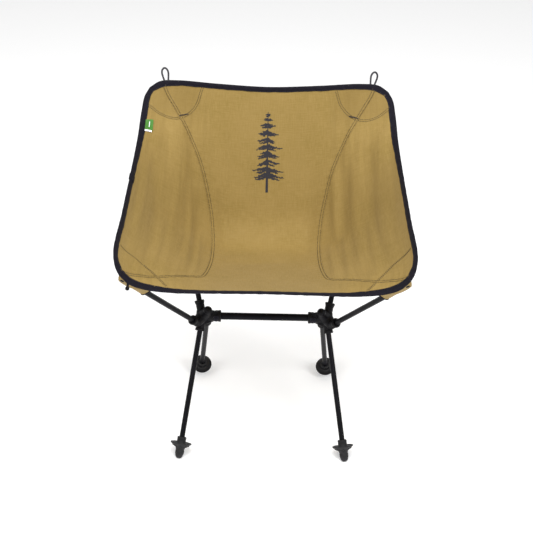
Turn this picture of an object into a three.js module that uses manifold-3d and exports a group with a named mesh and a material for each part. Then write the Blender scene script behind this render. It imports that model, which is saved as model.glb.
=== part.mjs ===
import * as THREE from 'three';
import { mergeVertices } from 'three/addons/utils/BufferGeometryUtils.js';
import Module from 'manifold-3d';

const wasm = await Module();
wasm.setup();

// A low packable camp chair: two moulded hubs on a crossbar hold four legs and four seat poles,
// and a fabric sling hangs by pockets on the tips of the poles. Millimetres, -Y to the front, +Z
// up. Left (-X) and right (+X) are those of someone who faces the chair's front. Everything is
// laid out from the crossbar, whose axis is y = 0.

// Frame
const axisHeight = 238;          // crossbar axis above the ground
const crossbarOuter = 14.4;      // crossbar diameter
const legOuter = 10.5;           // leg tube diameter
const poleOuter = 10.5;          // seat pole diameter
const tubeWall = 0.9;
const fit = 0.3;                 // clearance that a tube has in its socket, all round
const touch = 0.3;               // gap between pieces that rest on each other
const hubSpan = 248;             // distance between the two front legs at the crossbar
const legStagger = 9.5;          // how far inboard a rear leg passes its front leg
const frontLegLean = 33.3;       // degrees from upright, seen from the side
const rearLegLean = 31.9;
const frontLegSplay = 9.8;       // degrees from upright, seen from the front
const rearLegSplay = 5.8;

// Hub
const socketWall = 2.9;
const mouthLip = 1.2;            // how far the lip at a socket's mouth stands out
const mouthLength = 5;
const crossbarSocket = 37;       // from the front leg's plane to the mouth
const barClear = 1.25;           // between the crossbar's end and the rear leg beside it
const barWall = 1.2;
const legSocketLow = 31;         // mouth of a leg socket, below the crossbar along the leg
const frontLegTop = 8;           // where a front leg stops, below the crossbar along the leg
const rearLegTop = 27;           // where a rear leg stops, above the crossbar along the leg
const poleGrip = 20;             // length of a seat pole inside its socket
const coreRadius = 14;
const ribRadius = 8.4;           // rib from the core to a pole's socket
const gussetThick = 5;
const gussetShoulder = { x: 6, z: 2 };
const pinRadius = 1.9;
const pinInset = 9;              // crossbar pin, in from the socket's mouth
const pinHead = 1.6;
const rearMouthStep = new THREE.Vector3(7, 14.5, 27);    // from the middle of the hub
const frontMouthStep = new THREE.Vector3(18, -30, 9);

// Foot: a moulded ball foot with a dished flange, turned about the leg's axis
const footTip = 29;              // flange plane to the end of the foot
const footTipRadius = 8;
const footFlat = 0.6;            // worn flat under the foot
const footCollar = 14;           // collar above the flange plane
const footCollarOuter = 17.6;
const footBore = 6;              // depth of the bore below the flange plane
const flangeRadius = 21;
const flangeThick = 1.7;
const flangeDish = 3;            // how far the rim turns up
const footBulb = 8.9;            // radius of the ball under the flare

// Elastic cord in each tube, and the ferrule that joins the two parts of a rear pole
const cordRadius = 1.3;
const plugLength = 12;
const cordSetback = 3;           // cord's end, in from the end of its tube
const ferruleReach = 32;
const ferrulePlace = 0.52;       // share of the pole's length at which it comes apart

// Sling, with its heights from the crossbar
const frontCorner = new THREE.Vector3(253, -197, axisHeight + 208);
const rearCorner = new THREE.Vector3(234, 198, axisHeight + 403);
const frontEdge = { y: -168, z: axisHeight + 158 };
const seatLow = { y: 60, z: axisHeight + 105 };
const topEdge = { y: 205, z: axisHeight + 405 };
const wingStart = 0.3;           // share of the half width where the side starts to rise
const wingCurve = 1.4;
const clothThick = 1.2;
const seamGap = 0.6;
const bindingWidth = 11;
const bindingSlot = 2.1;         // half of the fold that the cloth's edge sits in
const bindingTape = 0.9;
const bindingRoom = 1.6;         // room between the cloth's edge and the bottom of the fold
const tipDepth = 9.5;            // end of a pole behind the cloth of its corner pocket
const frontTipPlace = { s: 0.93, t: 0.02 };
const rearTipPlace = { s: 0.87, t: 0.965 };
const capRadius = 6;
const capLength = 9;
const capEnd = 3.4;              // thickness of a cap's closed end
const pocketThick = 1;
const pocketReach = 28;          // half width of the bulge round a pole
const pocketTaper = 14;          // how far past a pole's end its pocket closes
const pocketEase = 5;            // room between a pole's cap and its pocket
const frontPocketArea = { s: [0.74, 0.985], t: [0.012, 0.1] };
const rearPocketArea = { s: [0.66, 0.985], t: [0.87, 0.985] };
const loopRadius = 1.5;
const loopHeight = 27;
const loopWidth = 13;
const labelWidth = 15;
const labelHeight = 21;
const labelRise = 2.6;           // above the cloth, over the edge binding
const labelPlace = { s: -0.905, t: 0.803 };
const loopPlace = { s: 0.85, t: 1 };

const up = new THREE.Vector3(0, 0, 1);
const group = new THREE.Group();

const colours = {
  moulded: { color: '#1c1b20', roughness: 0.55, metalness: 0 },
  tube: { color: '#24232a', roughness: 0.35, metalness: 0.6 },
  cloth: { color: '#ac925d', roughness: 0.85, metalness: 0 },
  tape: { color: '#2a2830', roughness: 0.8, metalness: 0 },
  cord: { color: '#151518', roughness: 0.9, metalness: 0 },
  steel: { color: '#8d8f94', roughness: 0.35, metalness: 1 },
  label: { color: '#5da82c', roughness: 0.6, metalness: 0 },
};

// Solids

function toManifold(geometry) {
  const bare = geometry.index ? geometry.toNonIndexed() : geometry.clone();
  bare.deleteAttribute('normal');
  bare.deleteAttribute('uv');
  const merged = mergeVertices(bare, 1e-4);
  return new wasm.Manifold(new wasm.Mesh({
    numProp: 3,
    vertProperties: new Float32Array(merged.attributes.position.array),
    triVerts: new Uint32Array(merged.index.array),
  }));
}

function fromManifold(solid) {
  const mesh = solid.getMesh();
  const geometry = new THREE.BufferGeometry();
  geometry.setAttribute('position', new THREE.BufferAttribute(mesh.vertProperties, 3));
  geometry.setIndex(new THREE.BufferAttribute(mesh.triVerts, 1));
  geometry.computeVertexNormals();
  return geometry;
}

function addNode(name, geometry, look) {
  const mesh = new THREE.Mesh(geometry, new THREE.MeshStandardMaterial(colours[look]));
  mesh.name = name;
  group.add(mesh);
}

// turns a geometry made along +Z so that it starts at a point and runs along a direction
function along(geometry, start, direction) {
  const turn = new THREE.Quaternion().setFromUnitVectors(up, direction.clone().normalize());
  geometry.applyQuaternion(turn);
  geometry.translate(start.x, start.y, start.z);
  return geometry;
}

function turned(profile, segments = 16) {
  const geometry = new THREE.LatheGeometry(profile.map(([r, z]) => new THREE.Vector2(r, z)), segments);
  geometry.rotateX(Math.PI / 2);
  return geometry;
}

function rod(start, end, radius, segments = 16) {
  const run = end.clone().sub(start);
  const length = run.length();
  return along(turned([[0, 0], [radius, 0], [radius, length], [0, length]], segments), start, run);
}

function pipe(start, end, outer, wall) {
  const run = end.clone().sub(start);
  const length = run.length();
  const r = outer / 2;
  const profile = [[r - wall, 0], [r, 0], [r, length], [r - wall, length], [r - wall, 0]];
  return along(turned(profile), start, run);
}

const mirrored = (p, side) => new THREE.Vector3(p.x * side, p.y, p.z);
const between = (a, b, k) => a.clone().lerp(b, k);
const stepAlong = (p, direction, distance) => p.clone().addScaledVector(direction, distance);

// Sling surface: s runs from the middle (0) to the side (1) and t from the front (0) to the top (1)

function smooth(points, symmetric) {
  const inner = points.slice(1).reverse().map((p) => mirrored(p, -1));
  const all = symmetric ? [...inner, ...points] : points;
  const curve = new THREE.CatmullRomCurve3(all, false, 'centripetal');
  return (k) => curve.getPointAt(symmetric ? 0.5 + k / 2 : k);
}

const fromFront = (x, y, z) => frontCorner.clone().add(new THREE.Vector3(x, y, z));
const fromRear = (x, y, z) => rearCorner.clone().add(new THREE.Vector3(x, y, z));
const onMiddle = (y, z) => new THREE.Vector3(0, y, z);

const frontCurve = smooth([
  onMiddle(frontEdge.y, frontEdge.z), fromFront(-163, 29, -51), fromFront(-88, 25, -49),
  fromFront(-41, 16, -38), fromFront(-15, 7, -22), frontCorner,
], true);

const topCurve = smooth([
  onMiddle(topEdge.y, topEdge.z), fromRear(-134, 6, 7), fromRear(-54, 2, 14),
  fromRear(-20, 1, 12), rearCorner,
], true);

const armFront = fromFront(9, 11, 31);
const armRear = fromRear(9, -10, -14);
const armPoint = (k, sag) => between(armFront, armRear, k).add(new THREE.Vector3(0, 0, -sag));

const sideCurve = smooth([
  frontCorner, armFront, armPoint(0.25, 2), armPoint(0.5, 8), armPoint(0.75, 10),
  fromRear(13, -33, -35), armRear, rearCorner,
], false);

const middleCurve = smooth([
  onMiddle(frontEdge.y, frontEdge.z), onMiddle(seatLow.y - 120, seatLow.z + 23),
  onMiddle(seatLow.y - 30, seatLow.z + 4), onMiddle(seatLow.y + 30, seatLow.z + 4),
  onMiddle(seatLow.y + 68, seatLow.z + 35), onMiddle(topEdge.y - 53, topEdge.z - 205),
  onMiddle(topEdge.y - 25, topEdge.z - 105), onMiddle(topEdge.y, topEdge.z),
], false);

const frontMiddle = frontCurve(0);
const topMiddle = topCurve(0);

function blendAxis(axis, s, t, share, parts) {
  const { front, top, middle, side } = parts;
  const ruled = (1 - t) * front[axis] + t * top[axis];
  const across = (1 - share) * middle[axis] + share * side[axis];
  const low = (1 - share) * frontMiddle[axis] + share * frontCorner[axis];
  const high = (1 - share) * topMiddle[axis] + share * rearCorner[axis];
  return ruled + across - (1 - t) * low - t * high;
}

function slingPoint(s, t) {
  const a = Math.abs(s);
  const lift = Math.max(0, (a - wingStart) / (1 - wingStart)) ** wingCurve;
  const parts = { front: frontCurve(a), top: topCurve(a), middle: middleCurve(t), side: sideCurve(t) };
  return new THREE.Vector3(
    Math.sign(s) * blendAxis('x', a, t, a, parts),
    blendAxis('y', a, t, lift, parts),
    blendAxis('z', a, t, lift, parts),
  );
}

// taken a little inside the edge, where both ways across the cloth are well apart
function slingNormal(s, t) {
  const d = 0.01;
  const u = s * 0.95;
  const v = 0.5 + (t - 0.5) * 0.95;
  const across = slingPoint(u + d, v).sub(slingPoint(u - d, v));
  const upward = slingPoint(u, v + d).sub(slingPoint(u, v - d));
  return across.cross(upward).normalize();
}

// The seam between the middle panel and a wing: in from the front corner, round the corner of
// the seat, and up the back to the top edge
const seamCorner = { s: 0.405, t: 0.19 };
const seamFrontEnd = 0.03;
const seamRun = new THREE.SplineCurve([
  new THREE.Vector2(seamCorner.s, seamCorner.t), new THREE.Vector2(0.388, 0.3),
  new THREE.Vector2(0.4, 0.48), new THREE.Vector2(0.44, 0.6), new THREE.Vector2(0.51, 0.71),
  new THREE.Vector2(0.59, 0.79), new THREE.Vector2(0.7, 0.88), new THREE.Vector2(0.86, 1),
]);
const backSeam = (k) => seamRun.getPoint(k);

function frontSeam(s) {
  const k = (s - seamCorner.s) / (1 - seamCorner.s);
  return seamCorner.t + (seamFrontEnd - seamCorner.t) * k;
}

// shares from 0 to 1 that crowd towards 1
const crowdedOut = (k) => (k + Math.sin((k * Math.PI) / 2)) / 2;

// a closed shell of even thickness over a list of four-cornered faces
function shell(points, faces, low, high) {
  const normals = points.map(() => new THREE.Vector3());
  const edges = new Map();
  for (const face of faces) {
    const [a, b, c, d] = face.map((i) => points[i]);
    const normal = c.clone().sub(a).cross(d.clone().sub(b));
    for (let i = 0; i < 4; i += 1) {
      normals[face[i]].add(normal);
      edges.set(`${face[i]} ${face[(i + 1) % 4]}`, [face[i], face[(i + 1) % 4]]);
    }
  }
  const place = (i, offset) => points[i].clone().addScaledVector(normals[i].clone().normalize(), offset);
  const upper = points.map((p, i) => place(i, high));
  const lower = points.map((p, i) => place(i, low));
  const corners = [];
  for (const [a, b, c, d] of faces) {
    corners.push(upper[a], upper[b], upper[c], upper[a], upper[c], upper[d]);
    corners.push(lower[a], lower[c], lower[b], lower[a], lower[d], lower[c]);
  }
  for (const [a, b] of edges.values()) {
    if (!edges.has(`${b} ${a}`)) {
      corners.push(upper[a], lower[a], lower[b], upper[a], lower[b], upper[b]);
    }
  }
  return new THREE.BufferGeometry().setFromPoints(corners);
}

// a rectangular grid of points as faces, counter-clockwise for a sitter looking down
function gridFaces(columns, rows, first = 0) {
  const faces = [];
  for (let j = 0; j < rows; j += 1) {
    for (let i = 0; i < columns; i += 1) {
      const a = first + j * (columns + 1) + i;
      faces.push([a, a + 1, a + columns + 2, a + columns + 1]);
    }
  }
  return faces;
}

function weld(geometry) {
  const merged = mergeVertices(geometry, 1e-4);
  merged.computeVertexNormals();
  return merged;
}

function buildSeatPanel() {
  const inner = 4;
  const outer = 7;
  const stripRows = 4;
  const backRows = 18;
  const half = inner + outer;
  const points = [];
  const column = (i) => {
    const a = Math.abs(i);
    const s = a <= inner
      ? (a / inner) * seamCorner.s
      : seamCorner.s + crowdedOut((a - inner) / outer) * (1 - seamCorner.s);
    return Math.sign(i) * s;
  };
  for (let j = 0; j <= stripRows; j += 1) {
    for (let i = -half; i <= half; i += 1) {
      const s = column(i);
      const reach = Math.abs(i) <= inner ? seamCorner.t : frontSeam(Math.abs(s));
      points.push(slingPoint(s, (j / stripRows) * reach));
    }
  }
  const faces = gridFaces(2 * half, stripRows);
  const lastRow = stripRows * (2 * half + 1) + half;
  const start = points.length;
  for (let j = 1; j <= backRows; j += 1) {
    const seam = backSeam(j / backRows);
    for (let i = -inner; i <= inner; i += 1) {
      points.push(slingPoint((i / inner) * seam.x, seam.y));
    }
  }
  for (let i = -inner; i < inner; i += 1) {
    const a = start + i + inner;
    faces.push([lastRow + i, lastRow + i + 1, a + 1, a]);
  }
  faces.push(...gridFaces(2 * inner, backRows - 1, start));
  return weld(shell(points, faces, -clothThick / 2, clothThick / 2));
}

function buildWing(side) {
  const columns = 7;
  const rows = 18;
  const gap = seamGap / rearCorner.x;
  const points = [];
  for (let j = 0; j <= rows; j += 1) {
    const seam = backSeam(j / rows);
    const outerT = seamFrontEnd + gap + (1 - seamFrontEnd - gap) * (j / rows);
    const innerT = Math.min(1, seam.y + gap * (1 - j / rows));
    for (let i = 0; i <= columns; i += 1) {
      const k = crowdedOut(i / columns);
      const s = seam.x + gap + (1 - seam.x - gap) * k;
      points.push(slingPoint(side * s, innerT + (outerT - innerT) * k));
    }
  }
  const faces = gridFaces(columns, rows).map((face) => (side > 0 ? face : face.reverse()));
  return weld(shell(points, faces, -clothThick / 2, clothThick / 2));
}

// places from -1 to 1 that crowd towards both ends
function crowded(i, count) {
  const even = (2 * i) / count - 1;
  return (even + Math.sin((even * Math.PI) / 2)) / 2;
}

// stations round the sling's edge, each with its point, its way inward and its normal
function edgeStations() {
  const across = 24;
  const upward = 28;
  const stations = [];
  const add = (s, t) => stations.push({ s, t, point: slingPoint(s, t) });
  for (let i = 0; i < across; i += 1) {
    add(crowded(i, across), 0);
  }
  for (let i = 0; i < upward; i += 1) {
    add(1, 0.5 + crowded(i, upward) / 2);
  }
  for (let i = 0; i < across; i += 1) {
    add(-crowded(i, across), 1);
  }
  for (let i = 0; i < upward; i += 1) {
    add(-1, 0.5 - crowded(i, upward) / 2);
  }
  const count = stations.length;
  stations.forEach((station, i) => {
    const before = stations[(i + count - 1) % count].point;
    const after = stations[(i + 1) % count].point;
    const tangent = after.clone().sub(before).normalize();
    const shrink = 0.95;
    const inside = slingPoint(station.s * shrink, 0.5 + (station.t - 0.5) * shrink);
    const inward = inside.sub(station.point);
    inward.addScaledVector(tangent, -inward.dot(tangent)).normalize();
    station.inward = inward;
    station.normal = tangent.clone().cross(inward).normalize();
  });
  return stations;
}

// a section given as inward and upward distances, carried round closed stations
function ring(stations, section) {
  const rings = stations.map((station) => section.map(([a, b]) => station.point.clone()
    .addScaledVector(station.inward, a).addScaledVector(station.normal, b)));
  const corners = [];
  rings.forEach((here, i) => {
    const next = rings[(i + 1) % rings.length];
    for (let j = 0; j < section.length; j += 1) {
      const k = (j + 1) % section.length;
      corners.push(here[j], next[k], next[j], here[j], here[k], next[k]);
    }
  });
  return new THREE.BufferGeometry().setFromPoints(corners);
}

const stations = edgeStations();
const bindingEdge = bindingRoom + bindingTape;

function buildBinding() {
  const high = bindingSlot + bindingTape;
  const section = [
    [bindingWidth, bindingSlot], [bindingWidth, high], [-bindingEdge, high], [-bindingEdge, -high],
    [bindingWidth, -high], [bindingWidth, -bindingSlot],
    [-bindingRoom, -bindingSlot], [-bindingRoom, bindingSlot],
  ];
  return weld(ring(stations, section));
}

function stationAt(s, t) {
  return stations.reduce((best, station) => {
    const off = Math.abs(station.s - s) + Math.abs(station.t - t);
    return off < Math.abs(best.s - s) + Math.abs(best.t - t) ? station : best;
  });
}

// the end of a seat pole in its corner pocket, behind the cloth
function tipPoint({ s, t }) {
  return slingPoint(s, t).addScaledVector(slingNormal(s, t), -tipDepth);
}

const frontTip = tipPoint(frontTipPlace);
const rearTip = tipPoint(rearTipPlace);

// Frame geometry of one side; the other is its mirror
const legPlane = hubSpan / 2;
const deg = Math.PI / 180;
const frontLegDown = new THREE.Vector3(
  Math.tan(frontLegSplay * deg), -Math.tan(frontLegLean * deg), -1).normalize();
const rearLegDown = new THREE.Vector3(
  Math.tan(rearLegSplay * deg), Math.tan(rearLegLean * deg), -1).normalize();
const hubCentre = new THREE.Vector3(legPlane, 0, axisHeight);
const rearLegCentre = new THREE.Vector3(legPlane - legStagger, 0, axisHeight);
const crossbarMouth = legPlane - crossbarSocket;
const boreEndX = legPlane - legStagger - legOuter / 2 - barClear;
const rearMouth = hubCentre.clone().add(rearMouthStep);
const frontMouth = hubCentre.clone().add(frontMouthStep);
const frontPoleDirection = frontTip.clone().sub(frontMouth).normalize();
const rearPoleDirection = rearTip.clone().sub(rearMouth).normalize();

// one leg: where it passes the crossbar, which way it runs down, how far above that it ends
const legs = [
  { name: 'front_leg', at: hubCentre, down: frontLegDown, top: -frontLegTop },
  { name: 'rear_leg', at: rearLegCentre, down: rearLegDown, top: rearLegTop },
];
const poles = [
  { mouth: frontMouth, direction: frontPoleDirection },
  { mouth: rearMouth, direction: rearPoleDirection },
];

// a socket: a cylinder from its closed end to its mouth, with a lip round the mouth
function socket(closed, mouth, inner) {
  const run = mouth.clone().sub(closed).normalize();
  const radius = inner / 2 + fit + socketWall;
  const body = toManifold(rod(closed, mouth, radius, 12));
  const lip = toManifold(rod(stepAlong(mouth, run, -mouthLength), mouth, radius + mouthLip, 12));
  return body.add(lip);
}

function buildHub(side) {
  const place = (p) => mirrored(p, side);
  const barRadius = crossbarOuter / 2;
  const barMouth = new THREE.Vector3(crossbarMouth, 0, axisHeight);
  let solid = toManifold(new THREE.SphereGeometry(coreRadius, 10, 6).translate(...place(hubCentre)));
  solid = solid.add(socket(place(hubCentre), place(barMouth), crossbarOuter));
  for (const leg of legs) {
    const top = stepAlong(leg.at, leg.down, -leg.top);
    const domed = new THREE.SphereGeometry(legOuter / 2 + fit + socketWall - 0.4, 10, 6);
    solid = solid.add(toManifold(domed.translate(...place(top))));
    solid = solid.add(socket(place(top), place(stepAlong(leg.at, leg.down, legSocketLow)), legOuter));
  }
  for (const pole of poles) {
    const closed = stepAlong(pole.mouth, pole.direction, -poleGrip - socketWall);
    solid = solid.add(socket(place(closed), place(pole.mouth), poleOuter));
    solid = solid.add(toManifold(rod(place(closed), place(hubCentre), ribRadius, 8)));
  }
  // web from the crossbar socket up to the closed end of the rear leg's socket
  const rearTop = stepAlong(rearLegCentre, rearLegDown, -rearLegTop);
  const web = new THREE.Shape([
    new THREE.Vector2(crossbarMouth + mouthLength, axisHeight + barRadius),
    new THREE.Vector2(hubCentre.x, axisHeight),
    new THREE.Vector2(rearTop.x, rearTop.z),
    new THREE.Vector2(rearTop.x - gussetShoulder.x, rearTop.z - gussetShoulder.z),
  ]);
  const plate = new THREE.ExtrudeGeometry(web, { depth: gussetThick, bevelEnabled: false });
  plate.translate(0, 0, -gussetThick / 2);
  plate.rotateX(Math.PI / 2);
  if (side < 0) {
    plate.rotateZ(Math.PI);
  }
  solid = solid.add(toManifold(plate));
  // bores
  const barEnd = hubCentre.clone().setX(boreEndX);
  solid = solid.subtract(toManifold(rod(
    place(barMouth.clone().setX(crossbarMouth - 5)), place(barEnd), barRadius + fit, 12)));
  for (const leg of legs) {
    const top = stepAlong(leg.at, leg.down, -leg.top);
    const below = stepAlong(leg.at, leg.down, legSocketLow + 5);
    solid = solid.subtract(toManifold(rod(place(top), place(below), legOuter / 2 + fit, 12)));
  }
  for (const pole of poles) {
    const closed = stepAlong(pole.mouth, pole.direction, -poleGrip);
    const beyond = stepAlong(pole.mouth, pole.direction, 5);
    solid = solid.subtract(toManifold(rod(place(closed), place(beyond), poleOuter / 2 + fit, 12)));
  }
  const hole = new THREE.Vector3(crossbarMouth + pinInset, 0, axisHeight);
  const reach = new THREE.Vector3(0, barRadius + 15, 0);
  solid = solid.subtract(toManifold(rod(
    place(hole.clone().sub(reach)), place(hole.clone().add(reach)), pinRadius + touch, 8)));
  return fromManifold(solid.decompose()[0]);
}

// Crossbar with its pins

const barEndX = boreEndX - touch;

function buildCrossbar() {
  const start = new THREE.Vector3(-barEndX, 0, axisHeight);
  const end = new THREE.Vector3(barEndX, 0, axisHeight);
  let solid = toManifold(pipe(start, end, crossbarOuter, barWall));
  for (const side of [-1, 1]) {
    const x = side * (crossbarMouth + pinInset);
    solid = solid.subtract(toManifold(rod(
      new THREE.Vector3(x, -20, axisHeight), new THREE.Vector3(x, 20, axisHeight),
      pinRadius + touch, 8)));
  }
  return fromManifold(solid);
}

function buildPin(side) {
  const seat = crossbarOuter / 2 + fit + socketWall + mouthLip + touch;
  const headRadius = pinRadius + 2;
  const profile = [
    [0, -seat - pinHead], [headRadius - 1, -seat - pinHead], [headRadius, -seat], [pinRadius, -seat],
    [pinRadius, seat], [headRadius, seat], [headRadius - 1, seat + pinHead], [0, seat + pinHead],
  ];
  const start = new THREE.Vector3(side * (crossbarMouth + pinInset), 0, axisHeight);
  return along(turned(profile, 8), start, new THREE.Vector3(0, 1, 0));
}

// Legs and feet

function footCentre(leg) {
  const tipHeight = footTipRadius - footFlat;
  const rise = (footTip - footTipRadius) * -leg.down.z;
  const run = (axisHeight - tipHeight - rise) / -leg.down.z;
  return stepAlong(leg.at, leg.down, run);
}

function buildFoot(flange, down) {
  const bore = legOuter / 2 + fit / 2;
  const collar = footCollarOuter / 2;
  const ball = footTip - footTipRadius;
  const profile = [];
  for (const angle of [0, 15, 30, 45, 60, 78]) {
    profile.push([footTipRadius * Math.sin(angle * deg), -ball - footTipRadius * Math.cos(angle * deg)]);
  }
  profile.push(
    [footBulb, -ball + 4], [footBulb - 0.5, -ball + 9], [footBulb + 1.4, -ball + 13],
    [footBulb + 5, -4.5], [flangeRadius - 4, -1], [flangeRadius, flangeDish - 0.9],
    [flangeRadius, flangeDish], [flangeRadius - 5, flangeThick], [collar, flangeThick],
    [collar, footCollar], [bore, footCollar], [bore, -footBore], [0, -footBore],
  );
  const solid = toManifold(along(turned(profile, 16), flange, down.clone().negate()));
  const ground = new THREE.BoxGeometry(90, 90, 60).translate(flange.x, flange.y, -30);
  return fromManifold(solid.subtract(toManifold(ground)));
}

function buildLeg(leg, side, suffix) {
  const down = mirrored(leg.down, side);
  const flange = mirrored(footCentre(leg), side);
  const top = mirrored(stepAlong(leg.at, leg.down, -leg.top + touch), side);
  const bottom = stepAlong(flange, down, footBore - touch);
  const plugTop = stepAlong(bottom, down, -plugLength);
  const clearTop = stepAlong(top, down, cordSetback);
  addNode(`${leg.name}_${suffix}`, pipe(top, bottom, legOuter, tubeWall), 'tube');
  addNode(`${leg.name}_foot_${suffix}`, buildFoot(flange, down), 'moulded');
  addNode(`${leg.name}_plug_${suffix}`,
    rod(plugTop, bottom, legOuter / 2 - tubeWall - touch, 14), 'moulded');
  addNode(`${leg.name}_cord_${suffix}`,
    rod(clearTop, stepAlong(plugTop, down, -touch), cordRadius, 8), 'cord');
}

// Seat poles

function buildCap(tip, direction) {
  const bore = poleOuter / 2 + fit / 2;
  const profile = [
    [0, 0], [capRadius * 0.7, -1], [capRadius, -4], [capRadius, -capLength],
    [bore, -capLength], [bore, -capEnd], [0, -capEnd],
  ].reverse();
  return along(turned(profile), tip, direction);
}

function buildPoles(side, suffix) {
  const place = (p) => mirrored(p, side);
  const ends = poles.map((pole, i) => {
    const tip = i === 0 ? frontTip : rearTip;
    return {
      low: stepAlong(pole.mouth, pole.direction, -poleGrip + touch),
      high: stepAlong(tip, pole.direction, -capEnd - touch),
      tip,
      direction: pole.direction,
    };
  });
  const [front, rear] = ends;
  addNode(`front_pole_${suffix}`, pipe(place(front.low), place(front.high), poleOuter, tubeWall), 'tube');
  // the rear pole comes apart in the middle, over an inner ferrule
  const join = between(rear.low, rear.high, ferrulePlace);
  const lower = stepAlong(join, rear.direction, -touch / 2);
  const upper = stepAlong(join, rear.direction, touch / 2);
  addNode(`rear_pole_lower_${suffix}`, pipe(place(rear.low), place(lower), poleOuter, tubeWall), 'tube');
  addNode(`rear_pole_upper_${suffix}`, pipe(place(upper), place(rear.high), poleOuter, tubeWall), 'tube');
  const ferruleOuter = poleOuter - 2 * tubeWall - 2 * touch;
  addNode(`pole_ferrule_${suffix}`, pipe(
    place(stepAlong(join, rear.direction, -ferruleReach)),
    place(stepAlong(join, rear.direction, ferruleReach)), ferruleOuter, tubeWall), 'steel');
  ends.forEach((end, i) => {
    const name = i === 0 ? 'front' : 'rear';
    addNode(`${name}_pole_cap_${suffix}`, buildCap(place(end.tip), mirrored(end.direction, side)), 'moulded');
    addNode(`${name}_pole_cord_${suffix}`, rod(
      place(stepAlong(end.low, end.direction, cordSetback)),
      place(stepAlong(end.high, end.direction, -cordSetback)), cordRadius, 8), 'cord');
  });
}

// Sling trimmings

// how far behind the cloth a corner pocket lies, so that it clears the pole that it holds
function pocketDepth(point, normal, tip, direction) {
  const flat = bindingSlot + bindingTape + pocketThick + touch;
  const offset = point.clone().sub(tip);
  const beyond = Math.max(0, offset.dot(direction));
  offset.addScaledVector(direction, -offset.dot(direction));
  const sideways = normal.clone().addScaledVector(direction, -normal.dot(direction));
  const toAxis = offset.dot(sideways) / sideways.lengthSq();
  const aside = Math.sqrt(Math.max(0, offset.lengthSq() - offset.dot(sideways) * toAxis));
  const round = Math.cos((Math.PI / 2) * Math.min(1, aside / pocketReach)) ** 2;
  const end = Math.cos((Math.PI / 2) * Math.min(1, beyond / pocketTaper)) ** 2;
  return flat + Math.max(0, toAxis + capRadius + pocketEase - flat) * round * end;
}

// a patch of cloth sewn behind a corner, which bulges round the end of the pole
function buildPocket(side, corner) {
  const columns = 8;
  const rows = 7;
  const points = [];
  for (let j = 0; j <= rows; j += 1) {
    for (let i = 0; i <= columns; i += 1) {
      const s = corner.s[0] + ((corner.s[1] - corner.s[0]) * i) / columns;
      const t = corner.t[0] + ((corner.t[1] - corner.t[0]) * j) / rows;
      const normal = slingNormal(s, t);
      const point = slingPoint(s, t);
      const depth = pocketDepth(point, normal, corner.tip, corner.direction);
      points.push(mirrored(point.addScaledVector(normal, -depth), side));
    }
  }
  const faces = gridFaces(columns, rows).map((face) => (side > 0 ? face : face.reverse()));
  return weld(shell(points, faces, -pocketThick / 2, pocketThick / 2));
}

function buildLoop(side) {
  const { point, inward, normal } = stationAt(loopPlace.s, loopPlace.t);
  const out = inward.clone().negate();
  const across = normal.clone().cross(out);
  const base = bindingEdge + touch + 0.3;
  const at = (a, b) => mirrored(point.clone().addScaledVector(out, a).addScaledVector(across, b), side);
  const half = loopWidth / 2;
  const path = new THREE.CatmullRomCurve3([
    at(base, -half * 0.55), at(base + loopHeight * 0.4, -half), at(base + loopHeight * 0.8, -half * 0.8),
    at(base + loopHeight, 0), at(base + loopHeight * 0.8, half * 0.8),
    at(base + loopHeight * 0.4, half), at(base, half * 0.55),
  ]);
  const section = new THREE.Shape();
  section.absarc(0, 0, loopRadius, 0, 2 * Math.PI);
  return weld(stripped(new THREE.ExtrudeGeometry(section, { steps: 14, curveSegments: 4, extrudePath: path })));
}

function stripped(geometry) {
  geometry.deleteAttribute('normal');
  geometry.deleteAttribute('uv');
  return geometry;
}

function buildLabel() {
  const { s, t } = labelPlace;
  const normal = slingNormal(s, t);
  const middle = slingPoint(s, t).addScaledVector(normal, clothThick / 2 + labelRise);
  const upward = slingPoint(s, t + 0.03).sub(slingPoint(s, t - 0.03));
  upward.addScaledVector(normal, -upward.dot(normal)).normalize();
  const across = upward.clone().cross(normal);
  const basis = new THREE.Matrix4().makeBasis(across, upward, normal).setPosition(middle);
  return new THREE.BoxGeometry(labelWidth, labelHeight, 0.9).applyMatrix4(basis);
}

// Assembly

for (const side of [-1, 1]) {
  const suffix = side < 0 ? 'left' : 'right';
  addNode(`hub_${suffix}`, buildHub(side), 'moulded');
  addNode(`crossbar_pin_${suffix}`, buildPin(side), 'steel');
  for (const leg of legs) {
    buildLeg(leg, side, suffix);
  }
  buildPoles(side, suffix);
  addNode(`wing_${suffix}`, buildWing(side), 'cloth');
  addNode(`front_pocket_${suffix}`,
    buildPocket(side, { ...frontPocketArea, tip: frontTip, direction: frontPoleDirection }), 'cloth');
  addNode(`rear_pocket_${suffix}`,
    buildPocket(side, { ...rearPocketArea, tip: rearTip, direction: rearPoleDirection }), 'cloth');
  addNode(`hang_loop_${suffix}`, buildLoop(side), 'cord');
}
addNode('crossbar', buildCrossbar(), 'tube');
addNode('seat_panel', buildSeatPanel(), 'cloth');
addNode('edge_binding', buildBinding(), 'tape');
addNode('side_label', buildLabel(), 'label');

const box = new THREE.Box3().setFromObject(group);
group.position.y = -(box.min.y + box.max.y) / 2;

export default group;
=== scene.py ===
import math
import random
import bpy
import numpy as np
from mathutils import Matrix, Vector


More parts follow.
